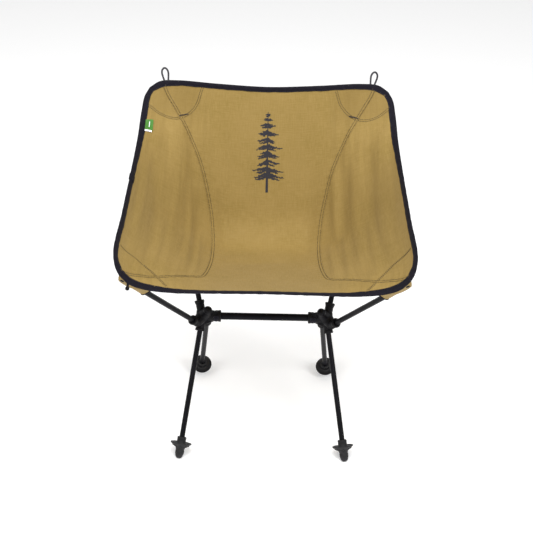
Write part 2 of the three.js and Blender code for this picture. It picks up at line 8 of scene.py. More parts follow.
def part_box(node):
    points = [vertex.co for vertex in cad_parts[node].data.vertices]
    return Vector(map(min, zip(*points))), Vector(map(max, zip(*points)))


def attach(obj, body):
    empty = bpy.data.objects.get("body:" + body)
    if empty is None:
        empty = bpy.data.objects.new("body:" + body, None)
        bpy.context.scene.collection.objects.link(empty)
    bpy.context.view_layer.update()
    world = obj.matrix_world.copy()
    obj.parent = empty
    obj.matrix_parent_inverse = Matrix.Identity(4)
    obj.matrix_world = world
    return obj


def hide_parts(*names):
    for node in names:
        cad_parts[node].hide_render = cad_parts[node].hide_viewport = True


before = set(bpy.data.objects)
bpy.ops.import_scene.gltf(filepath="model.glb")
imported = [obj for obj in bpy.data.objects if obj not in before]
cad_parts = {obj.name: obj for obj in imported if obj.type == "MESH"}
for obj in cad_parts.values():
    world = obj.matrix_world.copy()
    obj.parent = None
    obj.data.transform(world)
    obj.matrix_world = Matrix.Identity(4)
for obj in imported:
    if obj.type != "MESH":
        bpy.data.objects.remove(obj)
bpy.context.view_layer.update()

# A low packable camp chair. Lengths in the dictionaries are millimetres unless a note says otherwise.
mm = 0.001
barLow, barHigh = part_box("crossbar")
barY = (barLow.y + barHigh.y) / 2          # the sling is laid out from the crossbar's axis
barZ = (barLow.z + barHigh.z) / 2
print("frame loaded:", len(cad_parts), "nodes")


def deselectAll():
    if bpy.context.object and bpy.context.object.mode != "OBJECT":
        bpy.ops.object.mode_set(mode="OBJECT")
    bpy.ops.object.select_all(action="DESELECT")


def makeActive(piece):
    deselectAll()
    piece.select_set(True)
    bpy.context.view_layer.objects.active = piece


def editAll(piece):
    makeActive(piece)
    bpy.ops.object.mode_set(mode="EDIT")
    bpy.ops.mesh.select_all(action="SELECT")


def applyModifier(piece, kind, **settings):
    makeActive(piece)
    modifier = piece.modifiers.new(kind.title(), kind)
    for name, value in settings.items():
        setattr(modifier, name, value)
    bpy.ops.object.modifier_apply(modifier=modifier.name)


def cleanMesh(piece, distance=1e-5):
    editAll(piece)
    bpy.ops.mesh.remove_doubles(threshold=distance)
    bpy.ops.mesh.normals_make_consistent(inside=False)
    bpy.ops.object.mode_set(mode="OBJECT")


def newPiece(name, points, faces, uv=None):
    mesh = bpy.data.meshes.new(name)
    mesh.from_pydata([tuple(p) for p in points], [], faces)
    if uv is not None:
        layer = mesh.uv_layers.new(name="UVMap")
        index = np.zeros(len(mesh.loops), np.int32)
        mesh.loops.foreach_get("vertex_index", index)
        layer.data.foreach_set("uv", np.asarray(uv, np.float32)[index].ravel())
    piece = bpy.data.objects.new(name, mesh)
    bpy.context.scene.collection.objects.link(piece)
    return piece


def finishPiece(piece, body, material, replaced=(), angle=40):
    makeActive(piece)
    piece.data.materials.clear()
    piece.data.materials.append(material)
    bpy.ops.object.shade_smooth_by_angle(angle=math.radians(angle))
    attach(piece, body)
    if replaced:
        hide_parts(*replaced)
    return piece


def mirroredCopy(piece, name):
    twin = piece.copy()
    twin.data = piece.data.copy()
    twin.name = name
    bpy.context.scene.collection.objects.link(twin)
    twin.data.transform(Matrix.Scale(-1, 4, (1, 0, 0)))
    cleanMesh(twin)
    return twin


def joinPieces(name, pieces):
    deselectAll()
    for piece in pieces:
        piece.select_set(True)
    bpy.context.view_layer.objects.active = pieces[0]
    bpy.ops.object.join()
    pieces[0].name = name
    return pieces[0]


# a turned shape: rings of a circle extruded one after another along Z, then set along a direction
def turnedPiece(name, profile, start, direction, sides=48, hollow=False):
    deselectAll()
    radius, height = profile[0]
    bpy.ops.mesh.primitive_circle_add(vertices=sides, radius=radius * mm, location=(0, 0, 0),
                                      fill_type="NOTHING" if hollow else "NGON")
    piece = bpy.context.object
    piece.name = name
    editAll(piece)
    bpy.ops.transform.translate(value=(0, 0, height * mm))
    for nextRadius, nextHeight in profile[1:]:
        if hollow:
            bpy.ops.mesh.extrude_edges_move()
        else:
            bpy.ops.mesh.extrude_region_move()
        bpy.ops.transform.translate(value=(0, 0, (nextHeight - height) * mm))
        share = nextRadius / radius
        bpy.ops.transform.resize(value=(share, share, 1), center_override=(0, 0, nextHeight * mm))
        radius, height = nextRadius, nextHeight
    bpy.ops.object.mode_set(mode="OBJECT")
    cleanMesh(piece, 1e-6)
    turn = Vector((0, 0, 1)).rotation_difference(Vector(direction)).to_matrix().to_4x4()
    piece.data.transform(Matrix.Translation(Vector(start)) @ turn)
    return piece


# where a CAD tube runs: its lower and upper end on its axis, in metres
def tubeAxis(node):
    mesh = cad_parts[node].data
    points = np.zeros(len(mesh.vertices) * 3)
    mesh.vertices.foreach_get("co", points)
    points = points.reshape(-1, 3)
    points = np.unique(points.round(7), axis=0)
    middle = points.mean(0)
    run = np.linalg.svd(points - middle)[2][0]
    run = run if run[2] > 0 or (abs(run[2]) < 1e-3 and run[0] > 0) else -run
    reach = (points - middle) @ run
    return Vector(middle + run * reach.min()), Vector(middle + run * reach.max())


def unit(rows):
    return rows / np.maximum(np.linalg.norm(rows, axis=-1, keepdims=True), 1e-12)


# how far along a path each of its points is
def runAlong(path):
    return np.concatenate([[0], np.cumsum(np.linalg.norm(np.diff(path, axis=0), axis=1))])


# the rows of an array at places between them
def rowsAt(reach, run, rows):
    return np.stack([np.interp(reach, run, rows[:, j]) for j in range(rows.shape[1])], -1)


cameraPlace = {"lens": 70.92, "side": 2, "back": 1768.2, "height": 1375, "down": 30.0, "roll": 1.15}


def makeCamera(place):
    data = bpy.data.cameras.new("camera")
    data.lens = place["lens"]
    data.sensor_width = 36
    data.clip_start = 0.05
    camera = bpy.data.objects.new("camera", data)
    bpy.context.scene.collection.objects.link(camera)
    look = Matrix.Rotation(math.radians(90 - place["down"]), 4, "X")
    roll = Matrix.Rotation(math.radians(place["roll"]), 4, "Z")
    spot = Vector((place["side"] * mm, barY - place["back"] * mm, place["height"] * mm))
    camera.matrix_world = Matrix.Translation(spot) @ look @ roll
    bpy.context.scene.camera = camera


makeCamera(cameraPlace)


def hexLinear(code):
    parts = [int(code[i:i + 2], 16) / 255 for i in (1, 3, 5)]
    parts = [c / 12.92 if c <= 0.04045 else ((c + 0.055) / 1.055) ** 2.4 for c in parts]
    return (*parts, 1.0)


# one node with its settings; a socket given as a setting is linked, a hex string is a colour
def addNode(tree, kind, settings, out=0):
    node = tree.nodes.new("ShaderNode" + kind)
    for name, value in settings.items():
        if isinstance(name, str) and hasattr(node, name):
            setattr(node, name, value)
        elif isinstance(value, bpy.types.NodeSocket):
            tree.links.new(value, node.inputs[name])
        else:
            node.inputs[name].default_value = hexLinear(value) if isinstance(value, str) else value
    return node.outputs[out]


def newMaterial(name, settings):
    material = bpy.data.materials.new(name)
    material.use_nodes = True
    for key, value in settings.items():
        material.node_tree.nodes["Principled BSDF"].inputs[key].default_value = value
    return material, material.node_tree


# the sockets that drive a material's colour, roughness and relief
def linkLook(material, sockets):
    tree = material.node_tree
    for name, socket in sockets.items():
        tree.links.new(socket, tree.nodes["Principled BSDF"].inputs[name])
    return material


# side in metres; the paper is lit a little from below
floorLook = {"colour": "#ffffff", "side": 12.0, "glow": 0.12, "rough": 0.9}
lights = {
    # name: place from the crossbar, aim, size (metres), power (watts)
    "keyLight": ((1.6, -2.0, 2.2), (0, 0, 0.35), 1.2, 44),
    "fillLight": ((-1.8, -2.0, 2.1), (0, 0, 0.35), 1.6, 30),
    "topLight": ((-0.1, -0.7, 2.8), (0, 0, 0.3), 1.8, 46),
}
skyStrength = 0.62


def makeStudio():
    bpy.context.scene.view_settings.view_transform = "Standard"
    deselectAll()
    bpy.ops.mesh.primitive_plane_add(size=floorLook["side"], location=(0, 0, 0))
    floor = bpy.context.object
    floor.name = "studioFloor"
    white = hexLinear(floorLook["colour"])
    paper, _ = newMaterial("mattWhitePaper", {"Base Color": white, "Roughness": floorLook["rough"],
                                              "Emission Color": white, "Emission Strength": floorLook["glow"]})
    floor.data.materials.append(paper)
    for name, (place, aim, size, power) in lights.items():
        data = bpy.data.lights.new(name, "AREA")
        data.shape = "DISK"
        data.size = size
        data.energy = power
        lamp = bpy.data.objects.new(name, data)
        bpy.context.scene.collection.objects.link(lamp)
        lamp.location = Vector(place)
        lamp.rotation_euler = (Vector(place) - Vector(aim)).to_track_quat("Z", "Y").to_euler()
    world = bpy.data.worlds.new("studioSky")
    world.use_nodes = True
    world.node_tree.nodes["Background"].inputs["Color"].default_value = (1, 1, 1, 1)
    world.node_tree.nodes["Background"].inputs["Strength"].default_value = skyStrength
    bpy.context.scene.world = world


makeStudio()
print("camera and studio set")


def coatedOxford():
    # polyester oxford, plain woven and coated: matt tan, a soft slubby weave, paler where threads run thick.
    # The threads are drawn 1.1 mm apart, coarser than real, so that the weave shows.
    # one tone here is painted shade, laid in streaks up the side panels and over the top corners
    look = {"colour": "#8d7540", "shadow": "#866f39", "slub": "#967e48", "dark": "#6b5629", "crease": "#786232",
            "thread": 1.1, "slubWide": 2.2, "creaseWide": 9.0}
    material, tree = newMaterial("coatedOxford", {"Roughness": 0.78, "Sheen Weight": 0.08,
                                                  "Sheen Roughness": 0.45, "Specular IOR Level": 0.24})
    uv = addNode(tree, "TexCoord", {}, "UV")
    turns = 2 * math.pi / (look["thread"] * mm)
    threads, slubs = [], []
    for axis, stretch in ((0, (1, 0.12, 1)), (1, (0.12, 1, 1))):
        along = addNode(tree, "SeparateXYZ", {0: uv}, axis)
        phase = addNode(tree, "Math", {"operation": "MULTIPLY", 0: along, 1: turns})
        threads.append(addNode(tree, "Math", {"operation": "SINE", 0: phase}))
        mapped = addNode(tree, "Mapping", {"Vector": uv, "Scale": stretch})
        slubs.append(addNode(tree, "TexNoise", {"Vector": mapped, "Scale": 1 / (look["slubWide"] * mm), "Detail": 3.0,
                                                "Roughness": 0.55}))
    crossed = addNode(tree, "Math", {"operation": "MULTIPLY", 0: threads[0], 1: threads[1]})
    weave = addNode(tree, "Math", {"operation": "MULTIPLY_ADD", 0: crossed, 1: 0.5, 2: 0.5})
    both = addNode(tree, "Math", {"operation": "ADD", 0: slubs[0], 1: slubs[1]})
    slub = addNode(tree, "Math", {"operation": "MULTIPLY", 0: both, 1: 0.5})
    broad = addNode(tree, "TexNoise", {"Vector": uv, "Scale": 14.0, "Detail": 2.0})
    faded = addNode(tree, "MapRange", {"Value": broad, 1: 0.35, 2: 0.65})
    base = addNode(tree, "Mix", {"data_type": "RGBA", 0: faded, 6: look["shadow"], 7: look["colour"]}, 2)
    thick = addNode(tree, "MapRange", {"Value": slub, 1: 0.4, 2: 0.62, 4: 0.6})
    base = addNode(tree, "Mix", {"data_type": "RGBA", 0: thick, 6: base, 7: look["slub"]}, 2)
    between = addNode(tree, "MapRange", {"Value": weave, 1: 0.0, 2: 0.6, 3: 0.22, 4: 0.0})
    base = addNode(tree, "Mix", {"data_type": "RGBA", 0: between, 6: base, 7: look["dark"]}, 2)
    # painted shade: soft darker streaks run up the side panels, standing in for the shade in the folds of the cloth
    drawn = addNode(tree, "Mapping", {"Vector": uv, "Scale": (1, 0.05, 1)})
    shadeStreak = addNode(tree, "TexNoise", {"Vector": drawn, "Scale": 1 / (look["creaseWide"] * mm), "Detail": 1.0})
    across = addNode(tree, "Math", {"operation": "ABSOLUTE", 0: addNode(tree, "SeparateXYZ", {0: uv}, 0)})
    aside = addNode(tree, "MapRange", {"Value": across, 1: 0.095, 2: 0.135, 3: 0.05, 4: 0.24})
    folded = addNode(tree, "MapRange", {"Value": shadeStreak, 1: 0.42, 2: 0.62})
    foldShade = addNode(tree, "Math", {"operation": "MULTIPLY", 0: folded, 1: aside})
    base = addNode(tree, "Mix", {"data_type": "RGBA", 0: foldShade, 6: base, 7: look["crease"]}, 2)
    # painted shade: the top corners, with a second cloth behind them, are coloured darker as though they let less
    # light through
    upper = addNode(tree, "MapRange", {"Value": addNode(tree, "SeparateXYZ", {0: uv}, 1), 1: 0.475, 2: 0.50, 4: 0.5})
    corner = addNode(tree, "MapRange", {"Value": across, 1: 0.12, 2: 0.16})
    cornerShade = addNode(tree, "Math", {"operation": "MULTIPLY", 0: upper, 1: corner})
    base = addNode(tree, "Mix", {"data_type": "RGBA", 0: cornerShade, 6: base, 7: look["crease"]}, 2)
    height = addNode(tree, "Math", {"operation": "MULTIPLY_ADD", 0: weave, 1: 0.5, 2: slub})
    relief = addNode(tree, "Bump", {"Height": height, "Strength": 0.35, "Distance": 0.25 * mm})
    rough = addNode(tree, "MapRange", {"Value": slub, 1: 0.35, 2: 0.65, 3: 0.84, 4: 0.7})
    return linkLook(material, {"Base Color": base, "Normal": relief, "Roughness": rough})


def grosgrainTape():
    # black polyester tape, woven with close ribs across it: matt, with a painted highlight: each rib is coloured
    # lighter where it would catch a thin light.
    # The ribs are drawn 1.6 mm apart, coarser than real, so that they show.
    look = {"colour": "#100e16", "rib": "#1d1b25", "worn": "#25232d", "pitch": 1.6, "wornWide": 6.0}
    material, tree = newMaterial("grosgrainTape", {"Roughness": 0.72, "Sheen Weight": 0.02,
                                                   "Specular IOR Level": 0.1})
    uv = addNode(tree, "TexCoord", {}, "UV")
    along = addNode(tree, "SeparateXYZ", {0: uv}, 1)
    phase = addNode(tree, "Math", {"operation": "MULTIPLY", 0: along, 1: 2 * math.pi / (look["pitch"] * mm)})
    wave = addNode(tree, "Math", {"operation": "SINE", 0: phase})
    rib = addNode(tree, "Math", {"operation": "MULTIPLY_ADD", 0: wave, 1: 0.5, 2: 0.5})
    worn = addNode(tree, "TexNoise", {"Vector": uv, "Scale": 1 / (look["wornWide"] * mm), "Detail": 3.0})
    # painted highlight: the crest of each rib takes the lighter rib tone
    raised = addNode(tree, "MapRange", {"Value": rib, 1: 0.4, 2: 1.0, 4: 0.6})
    base = addNode(tree, "Mix", {"data_type": "RGBA", 0: raised, 6: look["colour"], 7: look["rib"]}, 2)
    rubbed = addNode(tree, "MapRange", {"Value": worn, 1: 0.5, 2: 0.75, 4: 0.35})
    base = addNode(tree, "Mix", {"data_type": "RGBA", 0: rubbed, 6: base, 7: look["worn"]}, 2)
    height = addNode(tree, "Math", {"operation": "MULTIPLY_ADD", 0: worn, 1: 0.4, 2: rib})
    relief = addNode(tree, "Bump", {"Height": height, "Strength": 0.5, "Distance": 0.3 * mm})
    return linkLook(material, {"Base Color": base, "Normal": relief})


def sewingThread(name, dark, light):
    # spun polyester thread: a tight twist, with a slight gloss on each stitch
    look = {"twistWide": 1.1}
    material, tree = newMaterial(name, {"Roughness": 0.55})
    place = addNode(tree, "TexCoord", {}, "Object")
    twist = addNode(tree, "TexNoise", {"Vector": place, "Scale": 1 / (look["twistWide"] * mm), "Detail": 2.0})
    base = addNode(tree, "Mix", {"data_type": "RGBA", 0: twist, 6: dark, 7: light}, 2)
    relief = addNode(tree, "Bump", {"Height": twist, "Strength": 0.3, "Distance": 0.15 * mm})
    return linkLook(material, {"Base Color": base, "Normal": relief})


def anodisedTube():
    # aluminium tube, drawn and black anodised: satin, dark, with a long soft highlight and fine draw marks
    look = {"colour": "#08080c", "dull": "#111015", "grain": 2.5, "broadWide": 38.0}
    material, tree = newMaterial("blackAnodisedAluminium", {"Metallic": 0.2, "Roughness": 0.42,
                                                            "Specular IOR Level": 0.1})
    place = addNode(tree, "TexCoord", {}, "Object")
    worn = addNode(tree, "TexNoise", {"Vector": place, "Scale": 1 / (look["grain"] * mm), "Detail": 4.0,
                                      "Roughness": 0.6})
    broad = addNode(tree, "TexNoise", {"Vector": place, "Scale": 1 / (look["broadWide"] * mm), "Detail": 2.0})
    dulled = addNode(tree, "MapRange", {"Value": broad, 1: 0.4, 2: 0.7})
    base = addNode(tree, "Mix", {"data_type": "RGBA", 0: dulled, 6: look["colour"], 7: look["dull"]}, 2)
    rough = addNode(tree, "MapRange", {"Value": worn, 1: 0.3, 2: 0.7, 3: 0.34, 4: 0.5})
    relief = addNode(tree, "Bump", {"Height": worn, "Strength": 0.06, "Distance": 0.1 * mm})
    return linkLook(material, {"Base Color": base, "Roughness": rough, "Normal": relief})


def sparkNylon():
    # glass-filled nylon, moulded in a spark-eroded tool: black, an even fine grit, rubbed smoother in places
    look = {"colour": "#060508", "dust": "#0e0d12", "grit": 0.9, "broadWide": 17.0}
    material, tree = newMaterial("glassFilledNylon", {"Roughness": 0.5, "Specular IOR Level": 0.15})
    place = addNode(tree, "TexCoord", {}, "Object")
    grit = addNode(tree, "TexNoise", {"Vector": place, "Scale": 1 / (look["grit"] * mm), "Detail": 2.0,
                                      "Roughness": 0.6})
    broad = addNode(tree, "TexNoise", {"Vector": place, "Scale": 1 / (look["broadWide"] * mm), "Detail": 3.0})
    dusty = addNode(tree, "MapRange", {"Value": broad, 1: 0.45, 2: 0.75})
    base = addNode(tree, "Mix", {"data_type": "RGBA", 0: dusty, 6: look["colour"], 7: look["dust"]}, 2)
    rough = addNode(tree, "MapRange", {"Value": broad, 1: 0.3, 2: 0.7, 3: 0.42, 4: 0.6})
    relief = addNode(tree, "Bump", {"Height": grit, "Strength": 0.28, "Distance": 0.12 * mm})
    return linkLook(material, {"Base Color": base, "Roughness": rough, "Normal": relief})


def mouldedRubber():
    # hard rubber, moulded: matt black, greyer and scuffed where it meets the ground
    look = {"colour": "#08070a", "scuff": "#333034", "grain": 1.4, "scuffHigh": 12.0}
    material, tree = newMaterial("hardRubber", {"Roughness": 0.68, "Specular IOR Level": 0.4})
    place = addNode(tree, "TexCoord", {}, "Object")
    height = addNode(tree, "SeparateXYZ", {0: place}, 2)
    grain = addNode(tree, "TexNoise", {"Vector": place, "Scale": 1 / (look["grain"] * mm), "Detail": 3.0,
                                       "Roughness": 0.6})
    low = addNode(tree, "MapRange", {"Value": height, 1: 0.0, 2: look["scuffHigh"] * mm, 3: 1.0, 4: 0.0})
    patchy = addNode(tree, "MapRange", {"Value": grain, 1: 0.35, 2: 0.65, 3: 0.2, 4: 0.8})
    scuff = addNode(tree, "Math", {"operation": "MULTIPLY", 0: low, 1: patchy})
    base = addNode(tree, "Mix", {"data_type": "RGBA", 0: scuff, 6: look["colour"], 7: look["scuff"]}, 2)
    rough = addNode(tree, "MapRange", {"Value": scuff, 3: 0.62, 4: 0.82})
    relief = addNode(tree, "Bump", {"Height": grain, "Strength": 0.2, "Distance": 0.15 * mm})
    return linkLook(material, {"Base Color": base, "Roughness": rough, "Normal": relief})


def screenInk():
    # plastisol ink, screen printed on the cloth: dark, flat, broken a little by the weave
    look = {"colour": "#17141e", "bare": "#5c4d33", "speckWide": 1.4}
    material, tree = newMaterial("screenInk", {"Roughness": 0.6})
    place = addNode(tree, "TexCoord", {}, "Object")
    speck = addNode(tree, "TexNoise", {"Vector": place, "Scale": 1 / (look["speckWide"] * mm), "Detail": 3.0,
                                       "Roughness": 0.6})
    broken = addNode(tree, "MapRange", {"Value": speck, 1: 0.64, 2: 0.8, 4: 0.4})
    base = addNode(tree, "Mix", {"data_type": "RGBA", 0: broken, 6: look["colour"], 7: look["bare"]}, 2)
    relief = addNode(tree, "Bump", {"Height": speck, "Strength": 0.3, "Distance": 0.15 * mm})
    return linkLook(material, {"Base Color": base, "Normal": relief})


def wovenLabel(name, colour, rib, dark):
    # damask woven label: fine ribs along it, a slight silky light
    look = {"pitch": 0.7, "fleckWide": 1.25}
    material, tree = newMaterial(name, {"Roughness": 0.5, "Sheen Weight": 0.2})
    place = addNode(tree, "TexCoord", {}, "Object")
    height = addNode(tree, "SeparateXYZ", {0: place}, 2)
    phase = addNode(tree, "Math", {"operation": "MULTIPLY", 0: height, 1: 2 * math.pi / (look["pitch"] * mm)})
    line = addNode(tree, "Math", {"operation": "SINE", 0: phase})
    fleck = addNode(tree, "TexNoise", {"Vector": place, "Scale": 1 / (look["fleckWide"] * mm), "Detail": 2.0})
    raised = addNode(tree, "MapRange", {"Value": line, 1: 0.2, 2: 1.0, 4: 0.5})
    base = addNode(tree, "Mix", {"data_type": "RGBA", 0: raised, 6: colour, 7: rib}, 2)
    flecked = addNode(tree, "MapRange", {"Value": fleck, 1: 0.5, 2: 0.8, 4: 0.3})
    base = addNode(tree, "Mix", {"data_type": "RGBA", 0: flecked, 6: base, 7: dark}, 2)
    relief = addNode(tree, "Bump", {"Height": line, "Strength": 0.25, "Distance": 0.1 * mm})
    return linkLook(material, {"Base Color": base, "Normal": relief})


def braidedCord():
    # braided polyester cord: black, a slanting braid of fine strands
    look = {"dark": "#0c0c10", "light": "#29272f", "pitch": 1.5}
    material, tree = newMaterial("braidedPolyesterCord", {"Roughness": 0.7, "Sheen Weight": 0.15})
    uv = addNode(tree, "TexCoord", {}, "UV")
    around = addNode(tree, "SeparateXYZ", {0: uv}, 0)
    along = addNode(tree, "SeparateXYZ", {0: uv}, 1)
    strands = []
    for lean in (1, -1):
        slant = addNode(tree, "Math", {"operation": "MULTIPLY_ADD", 0: around, 1: lean, 2: along})
        phase = addNode(tree, "Math", {"operation": "MULTIPLY", 0: slant, 1: 2 * math.pi / (look["pitch"] * mm)})
        strands.append(addNode(tree, "Math", {"operation": "SINE", 0: phase}))
    braid = addNode(tree, "Math", {"operation": "MAXIMUM", 0: strands[0], 1: strands[1]})
    raised = addNode(tree, "MapRange", {"Value": braid})
    base = addNode(tree, "Mix", {"data_type": "RGBA", 0: raised, 6: look["dark"], 7: look["light"]}, 2)
    relief = addNode(tree, "Bump", {"Height": braid, "Strength": 0.5, "Distance": 0.3 * mm})
    return linkLook(material, {"Base Color": base, "Normal": relief})


def elasticBraid():
    # elastic cord inside the poles, braided cover: dark grey, softly mottled
    look = {"dark": "#0e0e12", "light": "#2b2931", "strandWide": 1.2}
    material, tree = newMaterial("elasticBraid", {"Roughness": 0.75})
    place = addNode(tree, "TexCoord", {}, "Object")
    strand = addNode(tree, "TexNoise", {"Vector": place, "Scale": 1 / (look["strandWide"] * mm), "Detail": 2.0})
    base = addNode(tree, "Mix", {"data_type": "RGBA", 0: strand, 6: look["dark"], 7: look["light"]}, 2)
    relief = addNode(tree, "Bump", {"Height": strand, "Strength": 0.4, "Distance": 0.2 * mm})
    return linkLook(material, {"Base Color": base, "Normal": relief})


def drawnMetal(name, dark, light, rough):
    # bare metal, drawn or pressed: fine marks, soft bright light
    look = {"markWide": 2.4}
    material, tree = newMaterial(name, {"Metallic": 1.0, "Roughness": rough})
    place = addNode(tree, "TexCoord", {}, "Object")
    marks = addNode(tree, "TexNoise", {"Vector": place, "Scale": 1 / (look["markWide"] * mm), "Detail": 3.0,
                                       "Roughness": 0.6})
    base = addNode(tree, "Mix", {"data_type": "RGBA", 0: marks, 6: dark, 7: light}, 2)
    worn = addNode(tree, "MapRange", {"Value": marks, 1: 0.3, 2: 0.7, 3: rough - 0.06, 4: rough + 0.1})
    relief = addNode(tree, "Bump", {"Height": marks, "Strength": 0.1, "Distance": 0.08 * mm})
    return linkLook(material, {"Base Color": base, "Roughness": worn, "Normal": relief})


oxford = coatedOxford()
tape = grosgrainTape()
tanThread = sewingThread("spunPolyesterThreadTan", "#362b14", "#4b3c20")
blackThread = sewingThread("spunPolyesterThreadBlack", "#14121b", "#2a2731")
tube = anodisedTube()
nylon = sparkNylon()
rubber = mouldedRubber()
ink = screenInk()
labelGreen = wovenLabel("damaskLabelGreen", "#2f6e0c", "#437f17", "#244a10")
labelWhite = wovenLabel("damaskLabelWhite", "#e6e4ea", "#ffffff", "#cfcdd2")
cordBraid = braidedCord()
elastic = elasticBraid()
alloy = drawnMetal("bareDrawnAluminium", "#a9abb0", "#c9cbd0", 0.3)
rivetSteel = drawnMetal("blackenedSteel", "#17171b", "#2b2a30", 0.38)
print("materials made")

# the sling's surface: s runs from the middle (0) to the side (1), t from the front (0) to the top (1)

frontCorner = np.array((253, -197, 446.0))
rearCorner = np.array((234, 198, 641.0))
slingShape = {"wingStart": 0.3, "wingCurve": 1.4, "acrossScale": 250.0, "upScale": 560.0,
              "drawIn": 0.95, "probe": 0.01}


def smoothCurve(points, mirrored=False, steps=60):
    knots = np.array(points, float)
    flip = np.ones(knots.shape[1])
    flip[0] = -1
    before = knots[1] * flip if mirrored else 2 * knots[0] - knots[1]
    padded = np.vstack([before, knots, 2 * knots[-1] - knots[-2]])
    samples = []
    for i in range(len(knots) - 1):
        p0, p1, p2, p3 = padded[i:i + 4]
        d0, d1, d2 = [max(np.linalg.norm(b - a) ** 0.5, 1e-6) for a, b in ((p0, p1), (p1, p2), (p2, p3))]
        m1 = ((p1 - p0) / d0 - (p2 - p0) / (d0 + d1) + (p2 - p1) / d1) * d1
        m2 = ((p2 - p1) / d1 - (p3 - p1) / (d1 + d2) + (p3 - p2) / d2) * d1
        for u in np.linspace(0, 1, steps, endpoint=False):
            samples.append((2 * u**3 - 3 * u * u + 1) * p1 + (u**3 - 2 * u * u + u) * m1
                           + (3 * u * u - 2 * u**3) * p2 + (u**3 - u * u) * m2)
    samples.append(knots[-1])
    samples = np.array(samples)
    run = runAlong(samples)

    def at(k):
        reach = np.clip(np.asarray(k, float), 0, 1) * run[-1]
        return rowsAt(reach, run, samples)

    at.length = run[-1]
    return at


armFront = frontCorner + (9, 11, 31)
armRear = rearCorner + (9, -10, -14)
frontCurve = smoothCurve([(0, -168, 396)] + [frontCorner + step for step in (
    (-163, 29, -51), (-88, 25, -49), (-41, 16, -38), (-15, 7, -22), (0, 0, 0))], True)
topCurve = smoothCurve([(0, 205, 643)] + [rearCorner + step for step in (
    (-134, 6, 7), (-54, 2, 14), (-20, 1, 12), (0, 0, 0))], True)
sideCurve = smoothCurve([frontCorner, armFront]
                        + [armFront + (armRear - armFront) * k - (0, 0, sag)
                           for k, sag in ((0.25, 2), (0.5, 8), (0.75, 10))]
                        + [rearCorner + (13, -33, -35), armRear, rearCorner])
middleCurve = smoothCurve([(0, -168, 396), (0, -60, 366), (0, 30, 347), (0, 90, 347), (0, 128, 378),
                           (0, 152, 438), (0, 180, 538), (0, 205, 643)])


def slingPoint(s, t):
    s, t = np.broadcast_arrays(np.asarray(s, float), np.asarray(t, float))
    a = np.abs(s)
    start = slingShape["wingStart"]
    lift = np.clip((a - start) / (1 - start), 0, 1) ** slingShape["wingCurve"]
    share = np.stack([a, lift, lift], -1)
    up = t[..., None]
    low = (1 - share) * frontCurve(0) + share * frontCorner
    high = (1 - share) * topCurve(0) + share * rearCorner
    place = ((1 - up) * frontCurve(a) + up * topCurve(a) + (1 - share) * middleCurve(t)
             + share * sideCurve(t) - (1 - up) * low - up * high)
    place[..., 0] *= np.where(s < 0, -1, 1)
    return place * mm + (0, barY, 0)


def drawnIn(s, t):
    # a place moved a little towards the sling's middle
    return s * slingShape["drawIn"], 0.5 + (t - 0.5) * slingShape["drawIn"]


def slingNormal(s, t):
    s, t = np.broadcast_arrays(np.asarray(s, float), np.asarray(t, float))
    (u, v), d = drawnIn(s, t), slingShape["probe"]
    across = slingPoint(u + d, v) - slingPoint(u - d, v)
    upward = slingPoint(u, v + d) - slingPoint(u, v - d)
    return unit(np.cross(across, upward))


# the seam between the middle panel and a wing: in from the front corner, round, and up to the top
seamKnots = [(1.0, 0.03), (0.94, 0.036), (0.879, 0.046), (0.8, 0.06), (0.748, 0.069), (0.673, 0.085),
             (0.573, 0.113), (0.5, 0.133), (0.455, 0.141), (0.419, 0.156), (0.402, 0.19), (0.392, 0.25),
             (0.387, 0.353), (0.401, 0.483), (0.437, 0.588), (0.51, 0.71), (0.585, 0.788),
             (0.696, 0.881), (0.86, 1.0)]
seam = {"cornerKnot": 9, "lap": 4.5, "tuck": 2.5, "rise": 0.6, "riseReach": 1.3,
        "dip": 0.45, "dipReach": 1.6, "riseWidth": 8.0, "pucker": 0.4, "puckerPitch": 12.5, "puckerWidth": 10.0}
flatScale = np.array((slingShape["acrossScale"], slingShape["upScale"]))
seamCurve = smoothCurve([np.array(k) * flatScale for k in seamKnots])
seamSamples = seamCurve(np.linspace(0, 1, 600))


def seamOffset(distance):
    # the seam moved sideways towards the wing, as places (s, t), and the sample at its corner
    tangent = unit(np.gradient(seamSamples, axis=0))
    outward = np.stack([tangent[:, 1], -tangent[:, 0]], -1)
    corner = np.argmin(np.linalg.norm(seamSamples - np.array(seamKnots[seam["cornerKnot"]]) * flatScale, axis=1))
    return (seamSamples + outward * distance) / flatScale, corner


def nearestOnPath(flat, path):
    # distance from each place to a path, and how far along the path that is
    run = runAlong(path)
    distance, reach = np.empty(len(flat)), np.empty(len(flat))
    for i in range(0, len(flat), 4000):
        gap = np.linalg.norm(flat[i:i + 4000, None] - path[None], axis=2)
        nearest = gap.argmin(1)
        distance[i:i + 4000] = gap[np.arange(len(nearest)), nearest]
        reach[i:i + 4000] = run[nearest]
    return distance, reach


def smoothStep(x):
    x = np.clip(x, 0, 1)
    return x * x * (3 - 2 * x)


